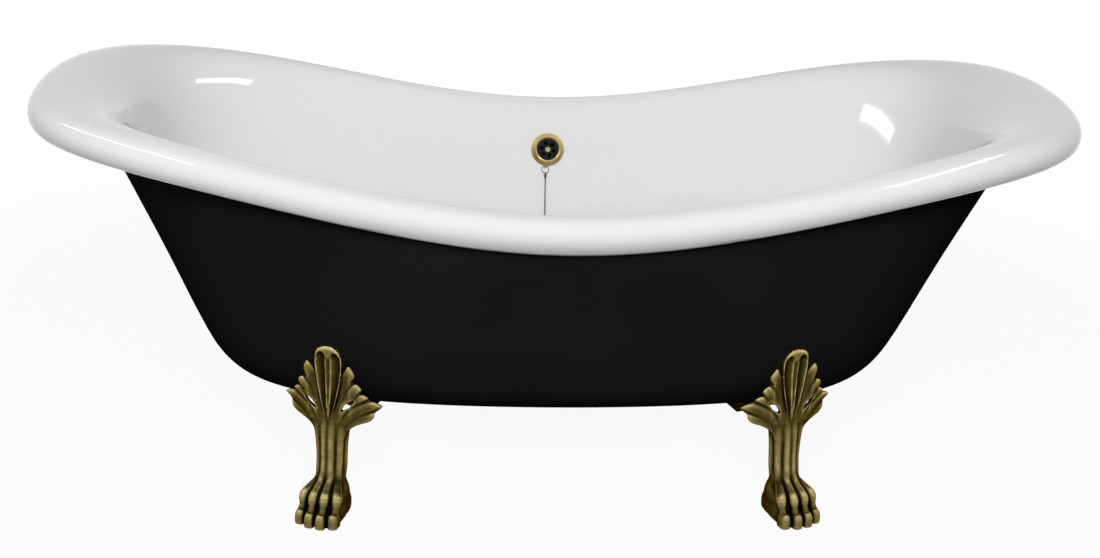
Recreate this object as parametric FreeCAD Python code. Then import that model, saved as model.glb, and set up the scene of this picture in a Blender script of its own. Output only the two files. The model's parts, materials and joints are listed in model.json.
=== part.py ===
import FreeCAD, Part
import math
import os

V = FreeCAD.Vector
ORIGIN = V(0, 0, 0)
X_AXIS = V(1, 0, 0)
Y_AXIS = V(0, 1, 0)
Z_AXIS = V(0, 0, 1)

# Bath: +X along its length, +Z up, origin on the floor under its middle
LENGTH = 1880.0
WIDTH = 790.0
RIM_END_HEIGHT = 703.0
RIM_SIDE_HEIGHT = 574.0
RIM_ROLL_RADIUS = 32.0
FLOOR_HEIGHT = 190.0
UNDERSIDE_HEIGHT = 139.0
SHELL_WALL = 6.0
SKIN_WALL = 5.0
OVERRUN = 5.0

# Inside of the bath: how far its leaning walls stand in from the rim's edge, and their roundings
END_SHOULDER_WIDTH = 154.0
SIDE_SHOULDER_WIDTH = 51.5
END_SHOULDER_DROP = 83.0
SIDE_SHOULDER_DROP = 54.0
FLOOR_ROUND_HEIGHT = 110.0
FLOOR_END_RUN = 106.0
FLOOR_SIDE_RUN = 95.0
END_LEAN_SHARE = 0.40
SIDE_LEAN_SHARE = 0.36
ROLL_DEGREES = 120.0

# Outer skin: inset from the rim's edge at the lip, and the rounding of its underside
SKIN_END_INSET = 126.0
SKIN_SIDE_INSET = 25.0
SKIN_TUCK = 14.0
SKIN_ROUND_HEIGHT = 108.0
SKIN_ROUND_RUN = 87.0
SKIN_SIDE_LEAN_SHARE = 0.34
RIM_CLEARANCE = 1.0

# Outline seen from above, as shares of the half length and half width, and the rise of the rim to its ends
END_PLAN_SHARES = (-0.0382, -0.0152)
SIDE_PLAN_SHARES = (0.088, -0.0122)
RISE_SHARES = (-0.168, 0.032)
BASE_FULLNESS_SHARE = 0.4
RING_POINTS = 36
FLARE_STEPS = 4
SHOULDER_STEPS = 5
ROLL_STEPS = 4
WALL_STEPS = 3

# Board and blocks between the two skins
BOARD_THICKNESS = 18.0
BOARD_SEAT = 0.3
BOARD_END_INSET = 440.0
BOARD_SIDE_INSET = 245.0
BOARD_WASTE_RADIUS = 55.0
HOSE_SLOT_WIDTH = 44.0
BLOCK_LENGTH = 80.0
BLOCK_WIDTH = 50.0
SKIN_WASTE_RADIUS = 48.0

# Feet: place of the stem under the bath, and sizes of the casting
FOOT_END_INSET = 543.0
FOOT_SIDE_INSET = 120.0
FOOT_SPLAY_DEGREES = 20.0
FOOT_CLEARANCE = 0.4
STEM_HALF_WIDTH = 25.5
STEM_HALF_DEPTH = 26.0
STEM_TOP_RISE = 46.0
FLUTE_DEPTH = 1.6
FLUTES = 10
FLUTE_POINTS = 60
PAW_LENGTH = 92.0
PAW_HALF_WIDTH = 40.0
PAW_HEIGHT = 62.0
TOE_RADIUS = 13.0
TOE_COUNT = 4
CREST_RISE = 172.0
LEAF_BASE_RISE = 26.0
CREST_HALF_WIDTH = 88.0
CREST_FORWARD = 18.0
PETAL_HALF_WIDTH = 21.0
LOBE_HALF_WIDTH = 11.5
LEAF_HALF_DEPTH = 8.0
WEB_WIDTH = 36.0
LUG_THICKNESS = 20.0
LUG_BOLT_INSET = 55.7
LUG_END = 22.0

# Stem and paw from the sole up: shares of the paw's length forward, of the widths, depths and flutes
STEM_HEIGHT_SHARES = (0.0, 0.12, 0.24, 0.36, 0.52, 0.70, 0.86, 1.0)
STEM_FORWARD_SHARES = (0.52, 0.52, 0.46, 0.32, 0.20, 0.15, 0.15, 0.17)
STEM_WIDTH_SHARES = (1.58, 1.64, 1.50, 1.18, 1.00, 1.08, 1.18, 1.14)
STEM_DEPTH_SHARES = (1.66, 1.70, 1.52, 1.22, 1.04, 1.02, 0.92, 0.72)
STEM_FLUTE_SHARES = (0.0, 0.0, 0.2, 0.7, 1.0, 1.0, 0.8, 0.5)

# Toes: height and reach of knuckle and claw, in shares of the paw's height and length
TOE_SPREAD_SHARE = 0.86
TOE_BACK_SHARE = 0.10
KNUCKLE_SHARES = (0.66, 0.74)
CLAW_SHARES = (0.20, 0.93)

# Leaves of the crest: tip across, up and forward, in shares of the crest's half width, rise and forward
LEAF_TIP_SHARES = (
    (0.0, 1.0, 0.4),
    (0.44, 0.78, 0.3),
    (0.63, 0.54, 0.0),
    (0.77, 0.38, -0.4),
    (1.0, 0.22, -1.1),
)
LEAF_WIDTH_SHARES = (0.40, 0.66, 0.90, 1.0, 0.74, 0.24)
LEAF_STATION_SHARES = (0.0, 0.25, 0.5, 0.75, 0.92, 1.0)
LEAF_ROOT_SHARE = 0.30
LEAF_POINTS = 12

# Underside of the web behind the crest, as shares of the lug's reach and of the crest's rise
WEB_REACH_SHARES = (0.33, 0.62)
WEB_RISE_SHARES = (0.12, 0.0)
WEB_TOP_SHARE = 0.85

# Fasteners of the feet
HEXAGON_SIDES = 6
BOLT_RADIUS = 5.0
BOLT_CLEARANCE = 0.5
BOLT_HEAD_RADIUS = 8.5
BOLT_HEAD_HEIGHT = 6.5
BOLT_ENGAGEMENT = 16.0
WASHER_RADIUS = 11.0
WASHER_THICKNESS = 2.0
INSERT_RADIUS = 9.0
INSERT_LENGTH = 20.0
THREAD_CLEARANCE = 0.1

# Levelling screws in the paws
LEVELLER_FORWARD = 46.0
LEVELLER_DISC_RADIUS = 16.0
LEVELLER_DISC_HEIGHT = 5.0
LEVELLER_STUD_RADIUS = 5.0
LEVELLER_STUD_LENGTH = 34.0
LEVELLER_CLEARANCE = 0.3

# Waste in the middle of the floor
TAIL_RADIUS = 23.9
TAIL_BORE_RADIUS = 20.0
TAIL_LENGTH = 104.0
TAIL_THREAD = 36.0
TAIL_NECK_RADIUS = 23.5
FLANGE_RADIUS = 36.0
FLANGE_THICKNESS = 3.0
SEAL_THICKNESS = 1.5
WASTE_HOLE_CLEARANCE = 2.0
SEAT_TOP_RADIUS = 23.2
SEAT_RADIUS = 21.8
SEAT_DEPTH = 12.0
THROAT_RADIUS = 17.5
THROAT_HEIGHT = 6.0
CROSS_WIDTH = 4.0
COLLAR_RADIUS = 39.0
COLLAR_HEIGHT = 36.0
WASHER_SEAL_THICKNESS = 3.0
WASHER_SEAL_RADIUS = 36.0
TAIL_CLEARANCE = 0.3
COLLAR_GROOVE_RADIUS = 33.0
COLLAR_LAND = 6.0
TAIL_SLOT_WIDTH = 10.0
NUT_RADIUS = 40.0
NUT_HEIGHT = 14.0

# Plug and its ring
PLUG_CLEARANCE = 0.3
CAP_RADIUS = 21.0
CAP_THICKNESS = 3.0
CAP_EDGE = 1.0
CAP_STEM_RADIUS = 4.0
CAP_STEM_LENGTH = 7.0
EYE_WIDTH = 4.0
EYE_DEPTH = 7.0
EYE_HEIGHT = 9.5
EYE_HOLE_RADIUS = 1.6
EYE_HOLE_RISE = 6.0
RING_RADIUS = 7.2
RING_WIRE_RADIUS = 0.6
PLUG_RING_DEGREES = 12.0

# Chain: clasps at its ends, and its route from the overflow down the wall and over the floor to the plug
CLASP_LOOP_RADIUS = 1.8
CLASP_LOOP_WIRE = 0.6
CLASP_PLAY = 0.3
CLASP_RADIUS = 2.3
CLASP_LENGTH = 7.0
CHAIN_RADIUS = 1.6
CHAIN_ARC_SHARE = 0.45
CHAIN_ROUTE = (
    (-4.0, 286.8, 424.75),
    (-4.0, 243.3, 303.9),
    (-5.0, 219.6, 253.0),
    (-9.0, 190.2, 219.4),
    (-15.0, 153.5, 199.2),
    (-20.0, 112.0, 192.2),
    (-17.0, 78.0, 192.0),
    (-6.0, 54.0, 193.2),
    (0.0, 38.0, 199.5),
    (0.0, 23.25, 199.5),
)

# Overflow on the far long wall: depths are counted from the wall's face
OVERFLOW_DROP = 96.0
OVERFLOW_HOLE_RADIUS = 24.0
OVERFLOW_SEAT = 0.4
BEZEL_RADIUS = 33.0
BEZEL_THICKNESS = 10.0
BEZEL_EDGE = 2.5
BEZEL_OPENING_RADIUS = 22.5
BEZEL_LEDGE_RADIUS = 20.0
BEZEL_LEDGE = 3.0
ROSE_THICKNESS = 3.0
ROSE_CLEARANCE = 0.3
ROSE_HOLES = 6
ROSE_HOLE_RADIUS = 4.2
ROSE_PITCH_RADIUS = 12.8
ROSE_TURN_DEGREES = -13.0
SCREW_HEAD_RADIUS = 5.0
SCREW_HEAD_HEIGHT = 2.5
SCREW_RADIUS = 2.5
SCREW_SLOT = 1.2
SCREW_TURN_DEGREES = 80.0
SCREW_THREAD = 10.0
EYELET_OFFSET = -4.0
EYELET_REACH = 34.0
EYELET_DEPTH = 2.8
EYELET_WIDTH = 4.0
EYELET_HALF_HEIGHT = 2.6
BACK_SEAL_THICKNESS = 2.0
ELBOW_FLANGE_RADIUS = 31.0
ELBOW_FLANGE = 4.0
ELBOW_RADIUS = 24.0
ELBOW_DEPTH = 27.0
ELBOW_WALL = 3.0
ELBOW_BOSS_RADIUS = 5.5
SPIGOT_RADIUS = 9.8
SPIGOT_BORE_RADIUS = 7.5
SPIGOT_COLLAR_RADIUS = 12.0
SPIGOT_COLLAR = 8.0
SPIGOT_LENGTH = 22.0

# Hose between the skins
HOSE_RADIUS = 12.0
HOSE_BORE_RADIUS = 10.0
HOSE_BEND_RADIUS = 120.0
CLIP_WIDTH = 9.0
CLIP_THICKNESS = 1.2
CLIP_CLEARANCE = 0.2
CLIP_INSET = 5.0

# Levels and places that follow from the sizes above
END_LIP = RIM_END_HEIGHT - 2 * RIM_ROLL_RADIUS
SIDE_LIP = RIM_SIDE_HEIGHT - 2 * RIM_ROLL_RADIUS
FLOOR_BACK = FLOOR_HEIGHT - SHELL_WALL
SKIN_FLOOR = UNDERSIDE_HEIGHT + SKIN_WALL
BOARD_BOTTOM = FLOOR_BACK - BOARD_SEAT - BOARD_THICKNESS
BOARD_HALF_LENGTH = LENGTH / 2 - BOARD_END_INSET
BOARD_HALF_WIDTH = WIDTH / 2 - BOARD_SIDE_INSET
FOOT_X = LENGTH / 2 - FOOT_END_INSET
FOOT_Y = WIDTH / 2 - FOOT_SIDE_INSET
SIDE_WALL_HALF = WIDTH / 2 - SIDE_SHOULDER_WIDTH
OVERFLOW_HEIGHT = RIM_SIDE_HEIGHT - OVERFLOW_DROP
OVERFLOW_Y = SIDE_WALL_HALF - SIDE_LEAN_SHARE * OVERFLOW_DROP
FLANGE_TOP = FLOOR_HEIGHT + SEAL_THICKNESS + FLANGE_THICKNESS
SEAT_LEVEL = FLANGE_TOP - SEAT_DEPTH
CAP_BOTTOM = FLANGE_TOP - CAP_EDGE
CAP_TOP = CAP_BOTTOM + CAP_THICKNESS
COLLAR_TOP = FLOOR_BACK - WASHER_SEAL_THICKNESS
COLLAR_BOTTOM = COLLAR_TOP - COLLAR_HEIGHT
HOSE_LEVEL = COLLAR_BOTTOM + COLLAR_HEIGHT / 2
NUT_TOP = COLLAR_BOTTOM - WASHER_SEAL_THICKNESS
LUG_BOTTOM = UNDERSIDE_HEIGHT - LUG_THICKNESS


def save(name, shape):
    shape.exportStep("parts/" + name + ".step")


def spline(points, parameters, closed):
    curve = Part.BSplineCurve()
    curve.interpolate(Points=points, Parameters=parameters, PeriodicFlag=closed)
    return curve


# A smooth sheet through closed rings of points, with the curves of its first and last ring
def ring_sheet(rings):
    around = [float(step) for step in range(len(rings[0]) + 1)]
    along = [0.0]
    for ring, following in zip(rings, rings[1:]):
        spans = [a.distanceToPoint(b) for a, b in zip(ring, following)]
        along.append(along[-1] + sum(spans) / len(spans))
    curves = [spline(ring, around, True) for ring in rings]
    columns = []
    for index in range(1, curves[0].NbPoles + 1):
        columns.append(spline([curve.getPole(index) for curve in curves], along, False))
    surface = Part.BSplineSurface()
    surface.buildFromPolesMultsKnots(
        [column.getPoles() for column in columns],
        curves[0].getMultiplicities(),
        columns[0].getMultiplicities(),
        curves[0].getKnots(),
        columns[0].getKnots(),
        True,
        False,
        curves[0].Degree,
        columns[0].Degree,
    )
    return surface.toShape(), curves[0].toShape(), curves[-1].toShape()


def disc(edge):
    return Part.Face(Part.Wire([edge]))


def closed_solid(faces):
    skin = Part.makeCompound(faces)
    skin.sewShape()
    solid = Part.makeSolid(skin.Shells[0])
    if solid.Volume < 0:
        solid.reverse()
    return solid


# A solid through closed rings, the first and last of which are flat
def ring_solid(rings):
    sheet, first, last = ring_sheet(rings)
    return closed_solid([sheet, disc(first), disc(last)])


# A wall between two sheets whose first rings are flat floors and whose last rings are joined
def wall_solid(rings, other_rings):
    sheet, floor, edge = ring_sheet(rings)
    other_sheet, other_floor, other_edge = ring_sheet(other_rings)
    strip = Part.makeRuledSurface(edge, other_edge)
    return closed_solid([sheet, other_sheet, strip, disc(floor), disc(other_floor)])


# One ring of the bath: its outline in plan, and its rise from the sides to the ends
def bath_ring(half_length, half_width, end_height, side_height, fullness):
    end_third, end_fifth = [share * fullness for share in END_PLAN_SHARES]
    side_third, side_fifth = [share * fullness for share in SIDE_PLAN_SHARES]
    rise_fourth, rise_sixth = RISE_SHARES
    points = []
    for step in range(RING_POINTS):
        turn = 2 * math.pi * step / RING_POINTS
        across = (1 - end_third - end_fifth) * math.cos(turn)
        across += end_third * math.cos(3 * turn) + end_fifth * math.cos(5 * turn)
        away = (1 + side_third - side_fifth) * math.sin(turn)
        away += side_third * math.sin(3 * turn) + side_fifth * math.sin(5 * turn)
        rise = 1 / 2 - rise_fourth + (1 / 2 - rise_sixth) * math.cos(2 * turn)
        rise += rise_fourth * math.cos(4 * turn) + rise_sixth * math.cos(6 * turn)
        height = side_height + (end_height - side_height) * rise
        points.append(V(half_length * across, half_width * away, height))
    return points


def fullness_at(height):
    rise = (height - UNDERSIDE_HEIGHT) / (RIM_END_HEIGHT - UNDERSIDE_HEIGHT)
    return BASE_FULLNESS_SHARE + (1 - BASE_FULLNESS_SHARE) * rise


# Rings from a profile at the ends and one at the sides, moved off their profiles by a wall
def bath_rings(end_profile, side_profile, wall):
    rings = []
    ends = moved_profile(end_profile, wall)
    sides = moved_profile(side_profile, wall)
    for station, end, side in zip(end_profile, ends, sides):
        rings.append(bath_ring(end[0], side[0], end[1], side[1], fullness_at(station[1])))
    return rings


# A profile as pairs of reach and height, moved to its right by a distance
def moved_profile(profile, distance):
    moved = []
    for index, (reach, height) in enumerate(profile):
        before = profile[max(index - 1, 0)]
        after = profile[min(index + 1, len(profile) - 1)]
        run = after[0] - before[0]
        rise = after[1] - before[1]
        if index in (0, len(profile) - 1) and abs(rise) < abs(run):
            rise = 0
        size = math.hypot(run, rise)
        moved.append((reach + distance * rise / size, height - distance * run / size))
    return moved


# Points of a smooth bend from one point to another, tangent at both to the lines through its corner
def flare(start, corner, finish, steps):
    points = []
    for step in range(steps + 1):
        part = step / steps
        weights = ((1 - part) ** 2, 2 * part * (1 - part), part ** 2)
        reach = sum(weight * point[0] for weight, point in zip(weights, (start, corner, finish)))
        height = sum(weight * point[1] for weight, point in zip(weights, (start, corner, finish)))
        points.append((reach, height))
    return points


# The bath's section from the flat of the floor up the wall, over the rim and under it to the skin
def shell_profile(edge, shoulder_width, shoulder_drop, lean, crest, floor_run, skin_at_lip, skin_lean):
    def wall_at(height):
        return edge - shoulder_width - lean * (crest - height)

    round_top = FLOOR_HEIGHT + FLOOR_ROUND_HEIGHT
    shoulder = crest - shoulder_drop
    wall_foot = (wall_at(FLOOR_HEIGHT), FLOOR_HEIGHT)
    floor_edge = (wall_foot[0] - floor_run, FLOOR_HEIGHT)
    points = flare(floor_edge, wall_foot, (wall_at(round_top), round_top), FLARE_STEPS)
    for step in range(1, WALL_STEPS):
        height = round_top + (shoulder - round_top) * step / WALL_STEPS
        points.append((wall_at(height), height))
    top = (edge - RIM_ROLL_RADIUS, crest)
    points += flare((wall_at(shoulder), shoulder), (wall_at(crest), crest), top, SHOULDER_STEPS)
    for step in range(1, ROLL_STEPS):
        angle = math.radians(ROLL_DEGREES * step / ROLL_STEPS)
        points.append(roll_point(top, angle))
    turned = math.radians(ROLL_DEGREES)
    roll_end = roll_point(top, turned)
    lip = crest - 2 * RIM_ROLL_RADIUS
    under = (roll_end[0] + (roll_end[1] - lip) / math.tan(turned), lip)
    tuck = (skin_at_lip + skin_lean * SHELL_WALL + RIM_CLEARANCE, lip)
    points += flare(roll_end, under, tuck, FLARE_STEPS)
    return points


def roll_point(top, angle):
    reach = top[0] + RIM_ROLL_RADIUS * math.sin(angle)
    height = top[1] - RIM_ROLL_RADIUS + RIM_ROLL_RADIUS * math.cos(angle)
    return reach, height


# The skin's section from the flat of the underside up the wall into the rim
def skin_profile(at_lip, lip, lean):
    def wall_at(height):
        return at_lip + lean * (height - lip)

    round_top = UNDERSIDE_HEIGHT + SKIN_ROUND_HEIGHT
    top = lip + SKIN_TUCK
    wall_foot = (wall_at(UNDERSIDE_HEIGHT), UNDERSIDE_HEIGHT)
    flat_edge = (wall_foot[0] - SKIN_ROUND_RUN, UNDERSIDE_HEIGHT)
    points = flare(flat_edge, wall_foot, (wall_at(round_top), round_top), FLARE_STEPS)
    for step in range(1, WALL_STEPS + 1):
        height = round_top + (top - round_top) * step / WALL_STEPS
        points.append((wall_at(height), height))
    return points


SKIN_END = LENGTH / 2 - SKIN_END_INSET
SKIN_SIDE = WIDTH / 2 - SKIN_SIDE_INSET
SKIN_END_PROFILE = skin_profile(SKIN_END, END_LIP, END_LEAN_SHARE)
SKIN_SIDE_PROFILE = skin_profile(SKIN_SIDE, SIDE_LIP, SKIN_SIDE_LEAN_SHARE)

# The foot's bolt stands a set distance in from the edge of the underside's flat
UNDERSIDE_FLAT_SIDE = SKIN_SIDE_PROFILE[0][0]
LUG_BOLT_REACH = (FOOT_Y - UNDERSIDE_FLAT_SIDE + LUG_BOLT_INSET) / math.cos(math.radians(FOOT_SPLAY_DEGREES))


def upright(radius, bottom, height):
    return Part.makeCylinder(radius, height, V(0, 0, bottom))


def tube(outer, inner, bottom, height):
    return upright(outer, bottom, height).cut(upright(inner, bottom, height))


# A box whose middle stands on the Z axis
def centred_box(length, width, bottom, height):
    return Part.makeBox(length, width, height, V(-length / 2, -width / 2, bottom))


def turned_solid(points):
    outline = [V(radius, 0, height) for radius, height in points]
    return Part.Face(Part.makePolygon(outline + outline[:1])).revolve(ORIGIN, Z_AXIS, 360)


# Overflow pieces are made with +Z out of the wall into the bath and +Y up the wall, then set on the wall
def on_overflow_wall(shape):
    lean = 90 - math.degrees(math.atan(SIDE_LEAN_SHARE))
    shape.Placement = FreeCAD.Placement(
        V(0, OVERFLOW_Y, OVERFLOW_HEIGHT), FreeCAD.Rotation(X_AXIS, lean)
    ).multiply(shape.Placement)
    return shape


def inner_shell():
    ends = shell_profile(
        LENGTH / 2, END_SHOULDER_WIDTH, END_SHOULDER_DROP, END_LEAN_SHARE,
        RIM_END_HEIGHT, FLOOR_END_RUN, SKIN_END, END_LEAN_SHARE,
    )
    sides = shell_profile(
        WIDTH / 2, SIDE_SHOULDER_WIDTH, SIDE_SHOULDER_DROP, SIDE_LEAN_SHARE,
        RIM_SIDE_HEIGHT, FLOOR_SIDE_RUN, SKIN_SIDE, SKIN_SIDE_LEAN_SHARE,
    )
    shell = wall_solid(bath_rings(ends, sides, 0), bath_rings(ends, sides, SHELL_WALL))
    depth = SHELL_WALL + 2 * OVERRUN
    waste_hole = upright(TAIL_RADIUS + WASTE_HOLE_CLEARANCE, FLOOR_BACK - OVERRUN, depth)
    overflow_hole = upright(OVERFLOW_HOLE_RADIUS, -SHELL_WALL - OVERRUN, depth)
    return shell.cut([waste_hole, on_overflow_wall(overflow_hole)])


def outer_shell(bolt_places):
    outside = bath_rings(SKIN_END_PROFILE, SKIN_SIDE_PROFILE, 0)
    inside = bath_rings(SKIN_END_PROFILE, SKIN_SIDE_PROFILE, -SKIN_WALL)
    skin = wall_solid(outside, inside)
    depth = SKIN_WALL + 2 * OVERRUN
    base = UNDERSIDE_HEIGHT - OVERRUN
    holes = [upright(SKIN_WASTE_RADIUS, base, depth)]
    for x, y in bolt_places:
        holes.append(Part.makeCylinder(BOLT_RADIUS + BOLT_CLEARANCE, depth, V(x, y, base)))
    return skin.cut(holes)


# The space that the skin takes up, a clearance larger, for the feet to be cut to
def skin_space():
    ends = [(reach + FOOT_CLEARANCE, height) for reach, height in SKIN_END_PROFILE]
    sides = [(reach + FOOT_CLEARANCE, height) for reach, height in SKIN_SIDE_PROFILE]
    sheet, flat, edge = ring_sheet(bath_rings(ends, sides, 0))
    top_ring = bath_ring(ends[-1][0], sides[-1][0], RIM_END_HEIGHT, RIM_END_HEIGHT, fullness_at(ends[-1][1]))
    top = spline(top_ring, [float(step) for step in range(RING_POINTS + 1)], True).toShape()
    return closed_solid([sheet, disc(flat), Part.makeRuledSurface(edge, top), disc(top)])


def base_board():
    ring = bath_ring(
        BOARD_HALF_LENGTH, BOARD_HALF_WIDTH, BOARD_BOTTOM, BOARD_BOTTOM, BASE_FULLNESS_SHARE
    )
    outline = spline(ring, [float(step) for step in range(RING_POINTS + 1)], True).toShape()
    board = disc(outline).extrude(V(0, 0, BOARD_THICKNESS))
    depth = BOARD_THICKNESS + 2 * OVERRUN
    base = BOARD_BOTTOM - OVERRUN
    hole = upright(BOARD_WASTE_RADIUS, base, depth)
    slot_length = BOARD_HALF_WIDTH + OVERRUN
    slot = centred_box(HOSE_SLOT_WIDTH, slot_length, base, depth).translated(V(0, slot_length / 2, 0))
    return board.cut([hole, slot])


# The foot is made with its stem on the Z axis and its toes towards -Y
def foot_stem():
    height = UNDERSIDE_HEIGHT + STEM_TOP_RISE
    rings = []
    stations = zip(
        STEM_HEIGHT_SHARES, STEM_FORWARD_SHARES, STEM_WIDTH_SHARES, STEM_DEPTH_SHARES, STEM_FLUTE_SHARES
    )
    for height_share, forward_share, width_share, depth_share, flute_share in stations:
        ring = []
        for step in range(FLUTE_POINTS):
            turn = 2 * math.pi * step / FLUTE_POINTS
            flute = FLUTE_DEPTH * flute_share * math.cos(FLUTES * turn)
            across = (STEM_HALF_WIDTH * width_share + flute) * math.cos(turn)
            away = (STEM_HALF_DEPTH * depth_share + flute) * math.sin(turn)
            ring.append(V(across, away - PAW_LENGTH * forward_share, height * height_share))
        rings.append(ring)
    return ring_solid(rings)


def foot_toes():
    toes = []
    for index in range(TOE_COUNT):
        side = 2 * index / (TOE_COUNT - 1) - 1
        across = PAW_HALF_WIDTH * TOE_SPREAD_SHARE * side
        back = PAW_LENGTH * TOE_BACK_SHARE * side ** 2
        for height_share, forward_share in (KNUCKLE_SHARES, CLAW_SHARES):
            centre = V(across, back - PAW_LENGTH * forward_share, PAW_HEIGHT * height_share)
            toes.append(Part.makeSphere(TOE_RADIUS, centre))
    return toes


# A flattened leaf from its root to its tip, with oval sections
def foot_leaf(root, tip, half_width):
    axis = tip - root
    across = axis.cross(Y_AXIS)
    across.normalize()
    depth = across.cross(axis)
    depth.normalize()
    rings = []
    for station, width_share in zip(LEAF_STATION_SHARES, LEAF_WIDTH_SHARES):
        ring = []
        for step in range(LEAF_POINTS):
            turn = 2 * math.pi * step / LEAF_POINTS
            side = across * (half_width * width_share * math.cos(turn))
            front = depth * (LEAF_HALF_DEPTH * width_share * math.sin(turn))
            ring.append(root + axis * station + side + front)
        rings.append(ring)
    return ring_solid(rings)


def foot_crest():
    base = UNDERSIDE_HEIGHT + LEAF_BASE_RISE
    leaves = []
    for across_share, rise_share, forward_share in LEAF_TIP_SHARES:
        half_width = PETAL_HALF_WIDTH if across_share == 0 else LOBE_HALF_WIDTH
        for side in ((1, -1) if across_share else (1,)):
            across = side * across_share * CREST_HALF_WIDTH
            rise = (CREST_RISE - LEAF_BASE_RISE) * rise_share
            root = V(across * LEAF_ROOT_SHARE, -CREST_FORWARD, base)
            tip = V(across, -CREST_FORWARD - CREST_FORWARD * forward_share, base + rise)
            leaves.append(foot_leaf(root, tip, half_width))
    return leaves


# The web from the back of the crest down the bath's flank to a flat lug under the bath
def foot_web():
    reach = LUG_BOLT_REACH + LUG_END
    top = UNDERSIDE_HEIGHT + CREST_RISE * WEB_TOP_SHARE
    outline = [(CREST_FORWARD, top), (CREST_FORWARD, UNDERSIDE_HEIGHT + LEAF_BASE_RISE)]
    for reach_share, rise_share in zip(WEB_REACH_SHARES, WEB_RISE_SHARES):
        outline.append((-reach * reach_share, LUG_BOTTOM + CREST_RISE * rise_share))
    outline += [(-reach, LUG_BOTTOM), (-reach, top)]
    points = [V(-WEB_WIDTH / 2, -forward, height) for forward, height in outline]
    return Part.Face(Part.makePolygon(points + points[:1])).extrude(V(WEB_WIDTH, 0, 0))


def foot_placement():
    return FreeCAD.Placement(V(-FOOT_X, -FOOT_Y, 0), FreeCAD.Rotation(Z_AXIS, -FOOT_SPLAY_DEGREES))


def at_foot(shape):
    shape.Placement = foot_placement().multiply(shape.Placement)
    return shape


def foot():
    casting = foot_stem().fuse(foot_toes() + foot_crest() + [foot_web()])
    pit = LEVELLER_DISC_HEIGHT + LEVELLER_CLEARANCE
    stud_top = LEVELLER_DISC_HEIGHT + LEVELLER_STUD_LENGTH
    below = Part.makeBox(
        2 * PAW_LENGTH + 2 * OVERRUN, 2 * PAW_LENGTH + 2 * OVERRUN, PAW_HEIGHT,
        V(-PAW_LENGTH - OVERRUN, -2 * PAW_LENGTH, -PAW_HEIGHT),
    )
    cuts = [
        below,
        Part.makeCylinder(LEVELLER_DISC_RADIUS + LEVELLER_CLEARANCE, pit, V(0, -LEVELLER_FORWARD, 0)),
        Part.makeCylinder(
            LEVELLER_STUD_RADIUS + THREAD_CLEARANCE, stud_top + LEVELLER_CLEARANCE, V(0, -LEVELLER_FORWARD, 0)
        ),
        Part.makeCylinder(BOLT_RADIUS + BOLT_CLEARANCE, LUG_THICKNESS, V(0, LUG_BOLT_REACH, LUG_BOTTOM)),
    ]
    return at_foot(casting.cut(cuts)).cut(skin_space())


def leveller():
    pad = upright(LEVELLER_DISC_RADIUS, 0, LEVELLER_DISC_HEIGHT)
    stud = upright(LEVELLER_STUD_RADIUS, LEVELLER_DISC_HEIGHT, LEVELLER_STUD_LENGTH)
    screw = pad.fuse(stud)
    screw.translate(V(0, -LEVELLER_FORWARD, 0))
    return at_foot(screw)


def hexagon(radius, bottom, height):
    corners = []
    for corner in range(HEXAGON_SIDES):
        turn = 2 * math.pi * corner / HEXAGON_SIDES
        corners.append(V(radius * math.cos(turn), radius * math.sin(turn), bottom))
    return Part.Face(Part.makePolygon(corners + corners[:1])).extrude(V(0, 0, height))


def foot_bolt():
    head_top = LUG_BOTTOM - WASHER_THICKNESS
    head = hexagon(BOLT_HEAD_RADIUS, head_top - BOLT_HEAD_HEIGHT, BOLT_HEAD_HEIGHT)
    shank = upright(BOLT_RADIUS, head_top, SKIN_FLOOR + BOLT_ENGAGEMENT - head_top)
    return head.fuse(shank)


def foot_washer():
    return tube(WASHER_RADIUS, BOLT_RADIUS + BOLT_CLEARANCE, LUG_BOTTOM - WASHER_THICKNESS, WASHER_THICKNESS)


def foot_insert():
    return tube(INSERT_RADIUS, BOLT_RADIUS + THREAD_CLEARANCE, BOARD_BOTTOM - INSERT_LENGTH, INSERT_LENGTH)


def mount_block():
    height = BOARD_BOTTOM - SKIN_FLOOR
    block = centred_box(BLOCK_LENGTH, BLOCK_WIDTH, SKIN_FLOOR, height)
    bolt_hole = upright(BOLT_RADIUS + BOLT_CLEARANCE, SKIN_FLOOR, height)
    pocket = upright(INSERT_RADIUS + THREAD_CLEARANCE, BOARD_BOTTOM - INSERT_LENGTH, INSERT_LENGTH)
    return block.cut([bolt_hole, pocket])


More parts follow.
